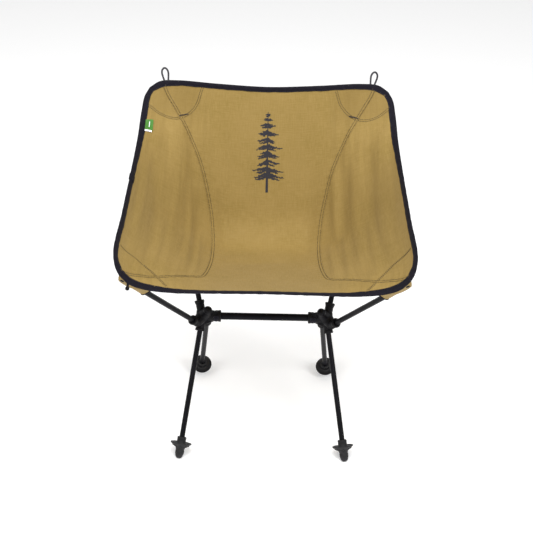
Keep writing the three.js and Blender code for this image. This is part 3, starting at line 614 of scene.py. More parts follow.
# folds in the cloth: from (s, t), to (s, t), half width, height
folds = [
    ((-0.72, 0.86), (-0.63, 0.14), 22, 6.5), ((-0.585, 0.62), (-0.55, 0.18), 7, 3.4),
    ((-0.89, 0.66), (-0.84, 0.14), 12, 3.0), ((-0.50, 0.46), (-0.475, 0.15), 5, 2.4),
    ((-0.76, 0.46), (-0.73, 0.12), 6, 2.2), ((-0.655, 0.88), (-0.63, 0.64), 8, 1.8),
    ((-0.36, 0.62), (-0.30, 0.44), 9, -1.4), ((-0.92, 0.62), (-0.90, 0.20), 8, 2.2),
    ((0.515, 0.72), (0.525, 0.44), 8, 3.8), ((0.69, 0.80), (0.655, 0.20), 14, 5.6),
    ((0.86, 0.78), (0.82, 0.18), 13, 4.2), ((0.48, 0.42), (0.475, 0.16), 6, 2.8),
    ((0.585, 0.44), (0.56, 0.14), 6, 2.8), ((0.75, 0.44), (0.73, 0.12), 6.5, 2.4),
    ((0.36, 0.62), (0.30, 0.42), 9, -1.4), ((0.66, 0.90), (0.60, 0.70), 8, 2.2),
    ((-0.20, 0.33), (0.24, 0.36), 18, -1.4), ((-0.62, 0.955), (-0.56, 0.90), 8, -1.4),
    ((0.62, 0.955), (0.57, 0.90), 8, -1.4),
    ((-0.82, 0.14), (-0.96, 0.10), 10, 1.2), ((0.82, 0.14), (0.96, 0.10), 10, 1.2),
    ((-0.28, 0.80), (-0.20, 0.55), 22, -1.0), ((0.26, 0.78), (0.20, 0.52), 22, -1.0),
]
# where the binding holds the cloth flat, as places s and t, and how soon the folds fade there
held = {"side": 0.952, "sideFade": 0.06, "front": 0.022, "top": 0.978, "fade": 0.045}


def wrinkle(s, t):
    s, t = np.broadcast_arrays(np.asarray(s, float), np.asarray(t, float))
    flat = np.stack([s, t], -1).reshape(-1, 2) * flatScale
    height = np.zeros(len(flat))
    for start, end, width, rise in folds:
        a, b = np.array(start) * flatScale, np.array(end) * flatScale
        run = b - a
        k = ((flat - a) @ run) / (run @ run)
        near = a + np.clip(k, 0, 1)[:, None] * run
        aside = np.linalg.norm(flat - near, axis=1)
        taper = 0.35 + 0.65 * np.sin(np.pi * np.clip(k, 0, 1)) ** 0.8
        height += rise * taper * np.exp(-(aside / width) ** 2)
    u, v = flat.T
    wing = np.clip((np.abs(s).ravel() - 0.35) / 0.2, 0, 1)
    height += wing * (0.45 * np.sin(u / 9.5 + np.sin(v / 61) * 1.7) * np.sin(v / 47 + u / 70 + 0.6)
                      + 0.3 * np.sin(u / 5.3 - v / 90 + 2.1) * np.sin(v / 33 + 1.1))
    height += (1 - wing) * 0.35 * np.sin(u / 26 + 0.7) * np.sin(v / 38 + u / 55 + 1.9)
    folded = np.stack([np.abs(u), v], -1)
    gap, reach = nearestOnPath(folded, seamSamples[::3])
    pucker = np.sin(reach * 2 * np.pi / seam["puckerPitch"] + np.sin(reach / 31) * 2)
    height += seam["pucker"] * pucker * np.exp(-(gap / seam["puckerWidth"]) ** 2)
    inside = np.minimum((held["side"] - np.abs(s)) / held["sideFade"],
                        np.minimum(t - held["front"], held["top"] - t) / held["fade"])
    return height.reshape(s.shape) * smoothStep(inside)


def clothPoint(s, t, lift=0.0):
    rise = (wrinkle(s, t) + lift) * mm
    return slingPoint(s, t) + slingNormal(s, t) * rise[..., None]


def gridFaces(rows, columns, flip=False, first=0):
    j, i = np.meshgrid(np.arange(rows - 1), np.arange(columns - 1), indexing="ij")
    a = (first + j * columns + i).ravel()
    faces = np.stack([a, a + 1, a + columns + 1, a + columns], -1)
    return (faces[:, ::-1] if flip else faces).tolist()


def clothSheet(name, blocks, lift, thick):
    # blocks are grids of places (s, t) on the sling; shared edges are merged
    points, faces, uv = [], [], []
    for grid, flip in blocks:
        s, t = grid[..., 0], grid[..., 1]
        rise = lift(s, t)
        faces += gridFaces(*s.shape, flip, sum(len(p) for p in points))
        points.append(clothPoint(s, t, rise).reshape(-1, 3))
        uv.append((grid * flatScale * mm).reshape(-1, 2))
    piece = newPiece(name, np.vstack(points), faces, np.vstack(uv))
    editAll(piece)
    bpy.ops.mesh.remove_doubles(threshold=2e-5)
    bpy.ops.object.mode_set(mode="OBJECT")
    applyModifier(piece, "SOLIDIFY", thickness=thick * mm, offset=-1, use_even_offset=True)
    return piece


clothThick = 0.8


def seamLift(cut, height, reach):
    # the cloth raised or sunk along its cut edge at the seam
    def lift(s, t):
        flat = (np.stack([np.abs(s), t], -1) * flatScale).reshape(-1, 2)
        gap = nearestOnPath(flat, cut[::2] * flatScale)[0].reshape(s.shape)
        return height * smoothStep(reach - gap / seam["riseWidth"])
    return lift


def seatPanelCloth():
    panel = {"across": 40, "outer": 64, "stripRows": 20, "backRows": 150}
    cut, corner = seamOffset(seam["lap"])
    lower, upper = cut[:corner + 1][::-1], cut[corner:]
    cornerS, cornerT = cut[corner]
    inner = np.linspace(0, 1, panel["across"]) ** 0.92 * cornerS
    outer = cornerS + np.linspace(0, 1, panel["outer"] + 1)[1:] * (1 - cornerS)
    outerTop = np.interp(outer, lower[:, 0], lower[:, 1])
    half = np.concatenate([inner, outer])
    top = np.concatenate([np.full(len(inner), cornerT), outerTop])
    columns = np.concatenate([-half[:0:-1], half])
    tops = np.concatenate([top[:0:-1], top])
    rows = np.linspace(0, 1, panel["stripRows"])[:, None]
    strip = np.stack([columns + 0 * rows, tops * rows], -1)
    t = cornerT + np.linspace(0, 1, panel["backRows"])[:, None] * (1 - cornerT)
    side = np.interp(t, upper[:, 1], upper[:, 0])
    share = np.concatenate([-inner[:0:-1], inner])[None] / cornerS
    back = np.stack([side * share, t + 0 * share], -1)

    lift = seamLift(cut, seam["rise"], seam["riseReach"])
    piece = clothSheet("seatPanelCloth", [(strip, False), (back, False)], lift, clothThick)
    return finishPiece(piece, "seat_frame", oxford, ["seat_panel"], 60)


def wingCloth(side, suffix):
    wing = {"across": 70, "rows": 150}
    cut, corner = seamOffset(-seam["tuck"])
    lower, upper = cut[:corner + 1][::-1], cut[corner:]

    def along(path, k):
        run = runAlong(path * flatScale)
        return rowsAt(k * run[-1], run, path)

    a = np.linspace(0, 1, wing["across"])
    b = np.linspace(0, 1, wing["rows"])
    bottom, left = along(lower, a)[None], along(upper, b)[:, None]
    bottom[0, -1, 0], left[-1, 0, 1] = 1.0, 1.0
    right = np.stack([np.ones(len(b)), bottom[0, -1, 1] + (1 - bottom[0, -1, 1]) * b], -1)[:, None]
    top = np.stack([left[-1, 0, 0] + (1 - left[-1, 0, 0]) * a, np.ones(len(a))], -1)[None]
    a, b = a[None, :, None], b[:, None, None]
    grid = ((1 - b) * bottom + b * top + (1 - a) * left + a * right
            - (1 - a) * (1 - b) * bottom[:, :1] - a * (1 - b) * bottom[:, -1:]
            - (1 - a) * b * top[:, :1] - a * b * top[:, -1:])
    grid[..., 0] = np.minimum(grid[..., 0], 1) * side

    lift = seamLift(cut, -seam["dip"], seam["dipReach"])
    piece = clothSheet("wingCloth" + suffix, [(grid, side < 0)], lift, clothThick)
    return finishPiece(piece, "seat_frame", oxford, ["wing_" + suffix.lower()], 60)


sides = ((-1, "Left"), (1, "Right"))
seatPanel = seatPanelCloth()
wings = {suffix: wingCloth(side, suffix) for side, suffix in sides}
print("cloth panels made")


def edgeStations(step=2.4):
    # evenly spaced stations round the sling's edge: place, way inward and normal
    k = np.linspace(0, 1, 300, endpoint=False)
    s = np.concatenate([2 * k - 1, 1 + 0 * k, 1 - 2 * k, -1 + 0 * k])
    t = np.concatenate([0 * k, k, 1 + 0 * k, 1 - k])
    place = slingPoint(s, t)
    gaps = np.linalg.norm(np.roll(place, -1, 0) - place, axis=1)
    run = np.concatenate([[0], np.cumsum(gaps)])
    count = int(run[-1] / (step * mm))
    reach = np.arange(count) * run[-1] / count

    def even(rows):
        return rowsAt(reach, run, np.vstack([rows, rows[:1]]))

    pull = slingPoint(*drawnIn(s, t)) - place
    place, pull, where = even(place), even(pull), even(np.stack([s, t], -1))
    spreadOut = np.exp(-np.linspace(-2, 2, 25) ** 2)
    spreadOut /= spreadOut.sum()

    def soften(rows):
        wrapped = np.vstack([rows[-12:], rows, rows[:12]])
        return np.stack([np.convolve(wrapped[:, j], spreadOut, "valid") for j in range(3)], -1)

    # inward is square to the edge; where the pull runs along the edge it is short and counts for little
    tangent = unit(np.roll(place, -1, 0) - np.roll(place, 1, 0))
    inward = soften(pull - (pull * tangent).sum(1, keepdims=True) * tangent)
    inward = unit(inward - (inward * tangent).sum(1, keepdims=True) * tangent)
    normal = unit(np.cross(tangent, inward))
    return {"place": place, "inward": inward, "normal": normal, "tangent": tangent, "run": reach, "where": where}


edge = edgeStations()


def stationAt(s, t):
    # the station nearest to a place on the edge
    return np.abs(edge["where"] - (s, t)).sum(1).argmin()


def sweptPiece(name, place, sideWay, upWay, section, closed, reach):
    # section: (sideways, up) points in millimetres for each station, an array [stations, points, 2]
    count, points = section.shape[:2]
    grid = (place[:, None] + sideWay[:, None] * section[..., :1] * mm + upWay[:, None] * section[..., 1:] * mm)
    perimeter = runAlong(section[0]) * mm
    uv = np.stack(np.broadcast_arrays(perimeter[None], reach[:, None]), -1).reshape(-1, 2)
    faces = []
    for i in range(count if closed else count - 1):
        a, b = i * points, (i + 1) % count * points
        faces += [(a + j, a + (j + 1) % points, b + (j + 1) % points, b + j) for j in range(points)]
    if not closed:
        faces += [tuple(range(points)), tuple(range((count - 1) * points, count * points))[::-1]]
    piece = newPiece(name, grid.reshape(-1, 3), faces, uv)
    cleanMesh(piece, 1e-7)
    return piece


binding = {
    # fold of the tape, from its inner edge over the cloth's edge and back: inward and up
    "outside": [(10.6, 0.95), (9.3, 0.8), (7.6, 1.05), (4.5, 1.5), (1.5, 1.6), (-0.8, 1.2), (-1.9, 0.3), (-2.2, -0.4),
                (-1.9, -1.1), (-0.8, -2.0), (1.5, -2.4), (4.5, -2.3), (7.6, -1.85), (9.3, -1.6), (10.6, -1.75)],
    "inside": [(10.6, -1.0), (9.3, -0.9), (4.5, -1.25), (0.5, -1.3), (-0.9, -0.4), (0.5, 0.5), (4.5, 0.45),
               (9.3, 0.1), (10.6, 0.2)],
    "stitchLine": 9.1,
    # along the top edge the tape is folded less deep
    "topShare": 0.78, "topFrom": 0.985, "topFade": 0.015, "topSide": 0.93, "sideFade": 0.25,
    "join": {"where": (-1.0, 0.50), "long": 17.0, "thicker": 0.8},
}


def bindingDepth():
    # how deep the tape reaches on the cloth at each station, as a share of its full fold
    s, t = edge["where"].T
    top = (smoothStep((t - binding["topFrom"]) / binding["topFade"])
           * smoothStep((binding["topSide"] - np.abs(s)) / binding["sideFade"]))
    return 1 - (1 - binding["topShare"]) * top


def bindingTape():
    ring = np.array(binding["outside"] + binding["inside"])
    reach = edge["run"] / mm
    total = reach[-1] + (reach[1] - reach[0])
    wave = 2 * np.pi * reach / total
    drift = 0.22 * np.sin(wave * 31) + 0.18 * np.sin(wave * 53 + 1.3) + 0.12 * np.sin(wave * 97 + 0.4)
    puff = 0.16 * np.sin(wave * 67 + 0.9) + 0.14 * np.sin(wave * 119)
    section = np.repeat(ring[None], len(reach), 0)
    innerSide = np.clip(ring[:, 0] / ring[0, 0], 0, 1)
    section[..., 0] *= 1 - (1 - bindingDepth()[:, None]) * innerSide
    section[..., 0] += drift[:, None] * innerSide
    section[..., 1] += puff[:, None] * np.where(ring[:, 1] > 0.6, 1, np.where(ring[:, 1] < -1.5, -1, 0))
    piece = sweptPiece("edgeBindingTape", edge["place"], edge["inward"], edge["normal"], section, True, edge["run"])
    finishPiece(piece, "seat_frame", tape, ["edge_binding"], 50)

    join = binding["join"]
    middle = stationAt(*join["where"])
    half = int(join["long"] / 2 / (reach[1] - reach[0]))
    index = np.arange(middle - half, middle + half + 1)
    sleeve = ring.copy()
    outer = len(binding["outside"])
    sleeve[:outer] += [(0.5 if a > 9 else -join["thicker"] * (a < 0), join["thicker"] * np.sign(b + 0.4))
                       for a, b in ring[:outer]]
    sleeve[outer:] = [(a, b + 0.9 * np.sign(b + 0.4)) for a, b in ring[outer:]]
    section = np.repeat(sleeve[None], len(index), 0)
    lap = sweptPiece("bindingJoin", edge["place"][index], edge["inward"][index], edge["normal"][index],
                     section, False, edge["run"][index])
    finishPiece(lap, "seat_frame", tape, (), 50)
    return piece, lap


def stitchMesh(name, lines, thread, length=2.9, gap=0.5, width=1.15, high=0.45):
    # each line is (places, normals): short rounded stitches laid end to end along it
    around, points, faces = 6, [], []
    turn = np.arange(around) * 2 * np.pi / around
    for place, normal in lines:
        run = runAlong(place) / mm
        centres = np.arange(length / 2, run[-1], length + gap)
        at = rowsAt(centres, run, place)
        ahead, behind = rowsAt(centres + 0.8, run, place), rowsAt(centres - 0.8, run, place)
        up = unit(rowsAt(centres, run, normal))
        way = unit(ahead - behind)
        aside = np.cross(up, way)
        for centre, u, w, a in zip(at, up, way, aside):
            first = len(points)
            points.append(centre - w * length / 2 * mm - u * 0.1 * mm)
            for reach in (-0.3, 0.3):
                for angle in turn:
                    points.append(centre + w * reach * length * mm + a * math.cos(angle) * width / 2 * mm
                                  + u * (math.sin(angle) * high + 0.12) * mm)
            points.append(centre + w * length / 2 * mm - u * 0.1 * mm)
            last = first + 1 + 2 * around
            for j in range(around):
                k = (j + 1) % around
                p, q = first + 1 + j, first + 1 + k
                faces += [(first, q, p), (p, q, q + around, p + around), (last, p + around, q + around)]
    piece = newPiece(name, points, faces)
    finishPiece(piece, "seat_frame", thread, (), 70)
    return piece


def clothLine(places, aside, lift=0.1, flip=1):
    # a line on the cloth through places (s, t), moved sideways by a few millimetres
    path = smoothCurve([np.array(p) * flatScale for p in places])
    flat = path(np.linspace(0, 1, int(path.length / 1.5)))
    tangent = unit(np.gradient(flat, axis=0))
    flat = flat + np.stack([tangent[:, 1], -tangent[:, 0]], -1) * aside
    s, t = (flat / flatScale).T
    s = s * flip
    return clothPoint(s, t, lift + 0 * s), slingNormal(s, t)


# rows of stitches: how far aside of their line, and how high above the cloth
stitching = {"seam": ((3.0, 0.72), (-1.2, 0.55)), "patch": 1.9, "diagonal": 2.6, "lift": 0.12,
             "tackTurns": 17, "tackWide": 1.0, "tackLift": 0.8}


def seamStitches():
    inside = [(0.965, 0.0335)] + seamKnots[1:-1] + [(0.850, 0.985)]
    rows = [clothLine(inside, aside, lift, side) for side, _ in sides for aside, lift in stitching["seam"]]
    return stitchMesh("seamStitches", rows, tanThread)


patchArcs = {
    "Left": [(0.962, 0.912), (0.84, 0.867), (0.739, 0.858), (0.674, 0.871), (0.602, 0.899), (0.561, 0.933),
             (0.544, 0.984)],
    "Right": [(0.972, 0.922), (0.851, 0.871), (0.765, 0.863), (0.688, 0.874), (0.619, 0.899), (0.565, 0.937),
              (0.547, 0.984)],
}
frontDiagonals = {
    "Left": [(0.962, 0.147), (0.88, 0.14), (0.79, 0.122), (0.709, 0.09), (0.64, 0.035)],
    "Right": [(0.965, 0.155), (0.90, 0.148), (0.82, 0.128), (0.74, 0.09), (0.668, 0.03)],
}


def patchStitches():
    rows = []
    for side, suffix in sides:
        arc, diagonal, lift = patchArcs[suffix], frontDiagonals[suffix], stitching["lift"]
        rows += [clothLine(arc, aside, lift, side) for aside in (stitching["patch"], -stitching["patch"])]
        # on the left the diagonal's second row starts partway
        second = diagonal[2:] if suffix == "Left" else diagonal
        rows += [clothLine(diagonal, 0, lift, side), clothLine(second, stitching["diagonal"], lift, side)]
    return stitchMesh("patchStitches", rows, tanThread)


def bindingStitches():
    inner = edge["place"] + edge["inward"] * (binding["stitchLine"] * bindingDepth())[:, None] * mm
    normal = np.vstack([edge["normal"], edge["normal"][:1]])
    inner = np.vstack([inner, inner[:1]])
    rows = [(inner + normal * 0.95 * mm, normal), (inner - normal * 1.75 * mm, -normal)]
    return stitchMesh("bindingStitches", rows, blackThread, 2.4, 0.9, 0.7, 0.3)


tackPlaces = {"Left": ((-0.700, 0.8735), (-0.627, 0.8865)), "Right": ((0.700, 0.8765), (0.632, 0.8895))}


def barTacks():
    # close zigzag tacks where the seam crosses a corner patch
    rows = []
    count = stitching["tackTurns"]
    for _, suffix in sides:
        start, end = [np.array(p) * flatScale for p in tackPlaces[suffix]]
        k = np.linspace(0, 1, count)[:, None]
        way = unit(end - start)
        aside = np.array((-way[1], way[0])) * stitching["tackWide"]
        zigzag = start + (end - start) * k + aside * np.where(np.arange(count) % 2, 1, -1)[:, None]
        fine = np.concatenate([zigzag[i] + (zigzag[i + 1] - zigzag[i]) * np.linspace(0, 1, 4)[:, None][:3]
                               for i in range(count - 1)])
        s, t = (fine / flatScale).T
        rows.append((clothPoint(s, t, stitching["tackLift"] + 0 * s), slingNormal(s, t)))
    return stitchMesh("barTacks", rows, blackThread, 2.2, -0.5, 1.0, 0.5)


def tubeAlong(name, path, radius, sides=12, flat=1.0, step=1.2):
    # a cord along a smooth path of points in metres, with rounded ends and UV in metres
    curve = smoothCurve(np.array(path) / mm)
    k = np.linspace(0, 1, max(8, int(curve.length / step)))
    place = curve(k) * mm
    tangent = unit(np.gradient(place, axis=0))
    middle = place.mean(0)
    side = unit(np.cross(tangent, np.cross(place[0] - middle + 1e-6, place[len(place) // 2] - middle)))
    up = unit(np.cross(side, tangent))
    side = np.cross(tangent, up)
    turn = np.linspace(0, 2 * np.pi, sides, endpoint=False)
    ring = np.stack([np.cos(turn), np.sin(turn) * flat], -1) * radius
    ends = np.minimum(1, np.minimum(k, 1 - k) * curve.length / radius)
    size = np.maximum(np.sqrt(1 - (1 - ends) ** 2), 0.15)
    return sweptPiece(name, place, side, up, ring[None] * size[:, None, None], False, k * curve.length * mm)


loops = {"where": 0.85, "radius": 1.9, "flat": 0.8, "lean": {"Left": -2.2, "Right": 2.4},
         # half of the loop: outward from the sling's edge, and sideways
         "half": [(-5, 3.4), (2, 4.2), (9, 5.6), (16, 6.5), (21, 5.6), (24.5, 3.0), (25.8, 0)]}


def hangLoop(side, suffix):
    i = stationAt(loops["where"] * side, 1.0)
    place, out, across = edge["place"][i], -edge["inward"][i], edge["tangent"][i] * -side
    normal = edge["normal"][i]
    half = loops["half"]
    outline = [(a, -b) for a, b in half] + [(a, b) for a, b in half[-2::-1]]
    path = [place + (out * a + across * (b * (1 if b > 0 else 0.92) + abs(loops["lean"][suffix]) * a / 25)) * mm
            + normal * (-0.4 + 1.2 * math.sin(a / 9)) * mm for a, b in outline]
    piece = tubeAlong("hangLoop" + suffix, path, loops["radius"], 12, loops["flat"])
    return finishPiece(piece, "seat_frame", cordBraid, ["hang_loop_" + suffix.lower()], 60)


sideLabel = {"where": 0.806, "wide": 16.5, "high": 25.0, "white": 4.2, "curl": 1.2, "inset": 10.5}


def makeLabel():
    # each patch lies on the cloth: u runs in from the sling's edge, v up along it
    def patch(name, low, high, start, end, lift):
        u, v = np.meshgrid(np.linspace(start, end, 9), np.linspace(low, high, 9))
        share = np.clip(u / sideLabel["wide"], 0, 1)
        rise = 1.1 + sideLabel["curl"] * share ** 2 + 0.3 * np.sin(v / 5) * share + lift
        s = -1 + (sideLabel["inset"] + u) / slingShape["acrossScale"]
        t = sideLabel["where"] + (v - 0.8 * share) / sideCurve.length
        piece = newPiece(name, clothPoint(s, t, rise).reshape(-1, 3), gridFaces(*u.shape),
                         np.stack([u, v], -1).reshape(-1, 2) * mm)
        applyModifier(piece, "SOLIDIFY", thickness=0.45 * mm, offset=-1)
        cleanMesh(piece)
        return piece

    half = sideLabel["high"] / 2
    made = []
    for name, low, high, start, end, lift, material, replaced in (
            ("sideLabelGreen", -half, half, 0, sideLabel["wide"], 0, labelGreen, ["side_label"]),
            ("sideLabelHem", -half - sideLabel["white"], -half, 0, sideLabel["wide"] - 1.5, 0, labelWhite, ()),
            ("sideLabelStripe", -half * 0.45, half * 0.6, 8.4, 9.9, 0.18, labelWhite, ())):
        piece = patch(name, low, high, start, end, lift)
        made.append(finishPiece(piece, "seat_frame", material, replaced, 50))
    return made


tree = {"where": (-0.003, 0.782), "high": 163.0, "trunk": (0.5, 2.5), "seed": 23,
        # height of each row of boughs above the foot of the trunk, reach and droop
        "rows": [(157, 4, 1.0), (149, 9, 1.5), (136, 17, 3), (122, 22, 4), (107, 20, 5), (94, 28, 6),
                 (79, 27, 7), (64, 24, 7), (49, 38, 8), (37, 32, 8)],
        "twig": 2.5, "twigWide": 3.3, "twigHigh": 2.3}


def treePrint():
    # a plain conifer: a bare-footed trunk and rows of ragged boughs, each a run of small overlapping blots
    draw = random.Random(tree["seed"])
    high, (thin, thick) = tree["high"], tree["trunk"]
    outlines, steps, turns = [], 40, 7
    for i in range(steps):
        low, top = high * i / steps, high * (i + 1) / steps
        halves = [thick + (thin - thick) * y / high for y in (low, top)]
        outlines.append([(-halves[0], low), (halves[0], low), (halves[1], top), (-halves[1], top)])
    for rise, reach, droop in tree["rows"]:
        for side in (-1, 1):
            for bough in range(3 if reach > 12 else 2):
                long = reach * draw.uniform(0.62, 1.05) * (1.0, 0.8, 0.55)[bough]
                start = rise + (0, -3.6, 3.0)[bough] * min(1, reach / 18) + draw.uniform(-1.5, 1.5)
                count = max(2, int(long / tree["twig"]))
                for j in range(count):
                    k = (j + 0.6) / count
                    x = side * long * k
                    y = start - droop * k ** 1.2 + 1.8 * k ** 4 + draw.uniform(-0.9, 0.9)
                    full = 0.5 + 0.75 * math.sin(math.pi * min(1, 0.25 + 0.75 * k))
                    wide = tree["twigWide"] * full * draw.uniform(0.55, 1.05)
                    tall = tree["twigHigh"] * full * draw.uniform(0.5, 1.15) * min(1, 0.4 + reach / 20)
                    outlines.append([
                        (x + wide * math.cos(a) * draw.uniform(0.6, 1.25),
                         y + tall * math.sin(a) * draw.uniform(0.6, 1.3) - 0.25 * abs(wide * math.cos(a)))
                        for a in (2 * math.pi * n / turns for n in range(turns))])
    points, faces, layers = [], [], []
    for i, outline in enumerate(outlines):
        faces.append(tuple(range(len(points), len(points) + len(outline))))
        points += outline
        layers += [0.2 + 0.12 * (i % 17) / 17] * len(outline)       # each blot in its own thin layer
    flat = np.array(points)
    s = tree["where"][0] + flat[:, 0] / slingShape["acrossScale"]
    t = tree["where"][1] + (flat[:, 1] - high / 2) / middleCurve.length
    piece = newPiece("treePrint", clothPoint(s, t, np.array(layers)), faces)
    applyModifier(piece, "SOLIDIFY", thickness=0.16 * mm, offset=-1)
    return finishPiece(piece, "seat_frame", ink, (), 60)


bindingPiece, bindingJoin = bindingTape()
threads = [seamStitches(), patchStitches(), bindingStitches(), barTacks()]
hangLoops = [hangLoop(side, suffix) for side, suffix in sides]
labels = makeLabel()
treePiece = treePrint()
print("tape, thread, loops, label and print made")

# corner pockets, behind the sling; "sewn" is the share of a pocket where its bulge runs out into the binding
pockets = {
    "cloth": 0.8, "flat": 2.9, "sewn": 0.03, "reach": 25.0, "taper": 14.0, "ease": 2.6,
    "capRadius": 6.0, "capEnd": 3.7, "mouthTape": 1.5, "edgeTape": 1.7,
    # each pocket lies between its stitched line on the sling and the sling's corner
    "front": {"line": [(0.985, 0.150), (0.88, 0.142), (0.79, 0.124), (0.715, 0.088), (0.655, 0.022)],
              "corner": [(0.985, 0.138), (0.988, 0.07), (0.985, 0.010), (0.86, 0.008), (0.668, 0.010)]},
    "rear": {"line": [(0.985, 0.900), (0.85, 0.866), (0.745, 0.858), (0.680, 0.872), (0.608, 0.899),
                      (0.565, 0.935), (0.548, 0.984)],
             "corner": [(0.985, 0.910), (0.99, 0.96), (0.985, 0.99), (0.85, 0.992), (0.70, 0.99), (0.56, 0.99)]},
}


def pocketDepth(place, normal, tip, way):
    # how far behind the sling a pocket lies, so that it rounds the end of its pole
    offset = (place - tip) / mm
    ahead = offset @ way
    beyond = np.maximum(0, ahead)
    offset = offset - ahead[:, None] * way
    sideways = normal - (normal @ way)[:, None] * way
    toAxis = (offset * sideways).sum(1) / np.maximum((sideways ** 2).sum(1), 1e-6)
    aside = np.sqrt(np.maximum(0, (offset ** 2).sum(1) - (offset * sideways).sum(1) * toAxis))
    ridge = np.cos(np.pi / 2 * np.clip(aside / pockets["reach"], 0, 1)) ** 2
    close = np.cos(np.pi / 2 * np.clip(beyond / pockets["taper"], 0, 1)) ** 2
    deep = toAxis + pockets["capRadius"] + pockets["ease"] - pockets["flat"]
    return pockets["flat"] + np.maximum(0, deep) * ridge * close


def poleTip(kind, suffix):
    # the end of a pole's cap, and the way that the pole runs
    node = "front_pole_" if kind == "front" else "rear_pole_upper_"
    low, high = tubeAxis(node + suffix.lower())
    way = (high - low).normalized()
    return high + way * pockets["capEnd"] * mm, way


def cornerPocket(kind, side, suffix):
    tip, way = [np.array(v) for v in poleTip(kind, suffix)]
    k = np.linspace(0, 1, 46)
    line, corner = [smoothCurve([np.array(p) * flatScale for p in pockets[kind][part]])(k) / flatScale
                    for part in ("line", "corner")]
    j = np.linspace(0, 1, 30)[:, None, None]
    grid = line[None] * (1 - j) + corner[None] * j
    s, t = grid[..., 0] * side, grid[..., 1]
    normal = slingNormal(s, t).reshape(-1, 3)
    place = slingPoint(s, t).reshape(-1, 3)
    depth = pocketDepth(place, normal, tip, way)
    sewn = np.broadcast_to(smoothStep((1 - j[..., 0]) / pockets["sewn"]), s.shape).ravel()
    depth = pockets["flat"] + (depth - pockets["flat"]) * sewn
    u, v = (grid * flatScale).reshape(-1, 2).T
    depth += 0.5 * np.sin(u / 6 + v / 9) * np.clip((depth - 3) / 5, 0, 1)
    points = place - normal * depth[:, None] * mm
    name = kind + "Pocket" + suffix
    flip = (side < 0) != (kind == "rear")
    piece = newPiece(name, points, gridFaces(*s.shape, flip), (grid * flatScale * mm).reshape(-1, 2))
    applyModifier(piece, "SOLIDIFY", thickness=pockets["cloth"] * mm, offset=1, use_even_offset=True)
    cleanMesh(piece, 1e-6)
    finishPiece(piece, "seat_frame", oxford, [f"{kind}_pocket_{suffix.lower()}"], 60)
    # the pocket's free edge is bound in narrow tape, round the pole
    rim = points.reshape(*s.shape, 3)
    strips = [tubeAlong(name + part, row[::3], pockets[size], 10, 0.8, 2.0)
              for part, row, size in (("Mouth", rim[0], "mouthTape"), ("Edge", rim[-1], "edgeTape"))]
    for strip in strips:
        finishPiece(strip, "seat_frame", tape, (), 60)
    return piece, *strips


pocketPieces = {(kind, suffix): cornerPocket(kind, side, suffix)
                for kind in ("front", "rear") for side, suffix in sides}


knob = {"where": (-0.90, 0.0), "below": 2.5, "inward": 0.5, "way": (-0.12, -0.42, -0.9),
        "outline": [(2.2, 0), (2.2, 3), (2.2, 5.5), (2.8, 6.6), (3.5, 8), (3.8, 9.8), (3.5, 11.6), (2.3, 12.9),
                    (0.4, 13.3)]}


def pullKnob():
    # a small knob on a neck of cord, under the left front corner's pocket
    i = stationAt(*knob["where"])
    root = Vector(edge["place"][i] - edge["normal"][i] * knob["below"] * mm
                  + edge["inward"][i] * knob["inward"] * mm)
    piece = turnedPiece("pullKnob", knob["outline"], root, Vector(knob["way"]).normalized(), 24)
    return finishPiece(piece, "seat_frame", nylon, (), 50)


pullKnob()
print("pockets made")


tubes = {"leg": 5.25, "pole": 5.25, "bar": 7.2, "ferrule": 4.05, "wall": 0.9, "barWall": 1.2, "edgeRound": 0.35}


def tubePiece(name, node, radius, wall, body):
    low, high = tubeAxis(node)
    long = (high - low).length / mm
    e = tubes["edgeRound"]
    profile = [(radius - wall, e), (radius - wall + e * 0.6, 0), (radius - e, 0), (radius, e)]
    profile += [(radius, long * k) for k in (0.25, 0.5, 0.75)]
    profile += [(radius, long - e), (radius - e, long), (radius - wall + e * 0.6, long), (radius - wall, long - e),
                (radius - wall, e)]
    piece = turnedPiece(name, profile, low, high - low, 48, True)
    slot, finish = ("ferrule_alloy", alloy) if "Ferrule" in name else ("frame_tube", tube)
    finishPiece(piece, body, finish, [node], 35)


tubePiece("crossbarTube", "crossbar", tubes["bar"], tubes["barWall"], "seat_frame")
for side, suffix in sides:
    small = suffix.lower()
    for kind in ("front", "rear"):
        leg = f"{kind}_leg_{small}"
        tubePiece(f"{kind}LegTube{suffix}", leg, tubes["leg"], tubes["wall"], leg + "_body")
    for name, node, radius in (("frontPoleTube", "front_pole_", "pole"),
                               ("rearPoleLower", "rear_pole_lower_", "pole"),
                               ("rearPoleUpper", "rear_pole_upper_", "pole"),
                               ("poleFerrule", "pole_ferrule_", "ferrule")):
        tubePiece(name + suffix, node + small, tubes[radius], tubes["wall"], "seat_frame")
print("tubes made")


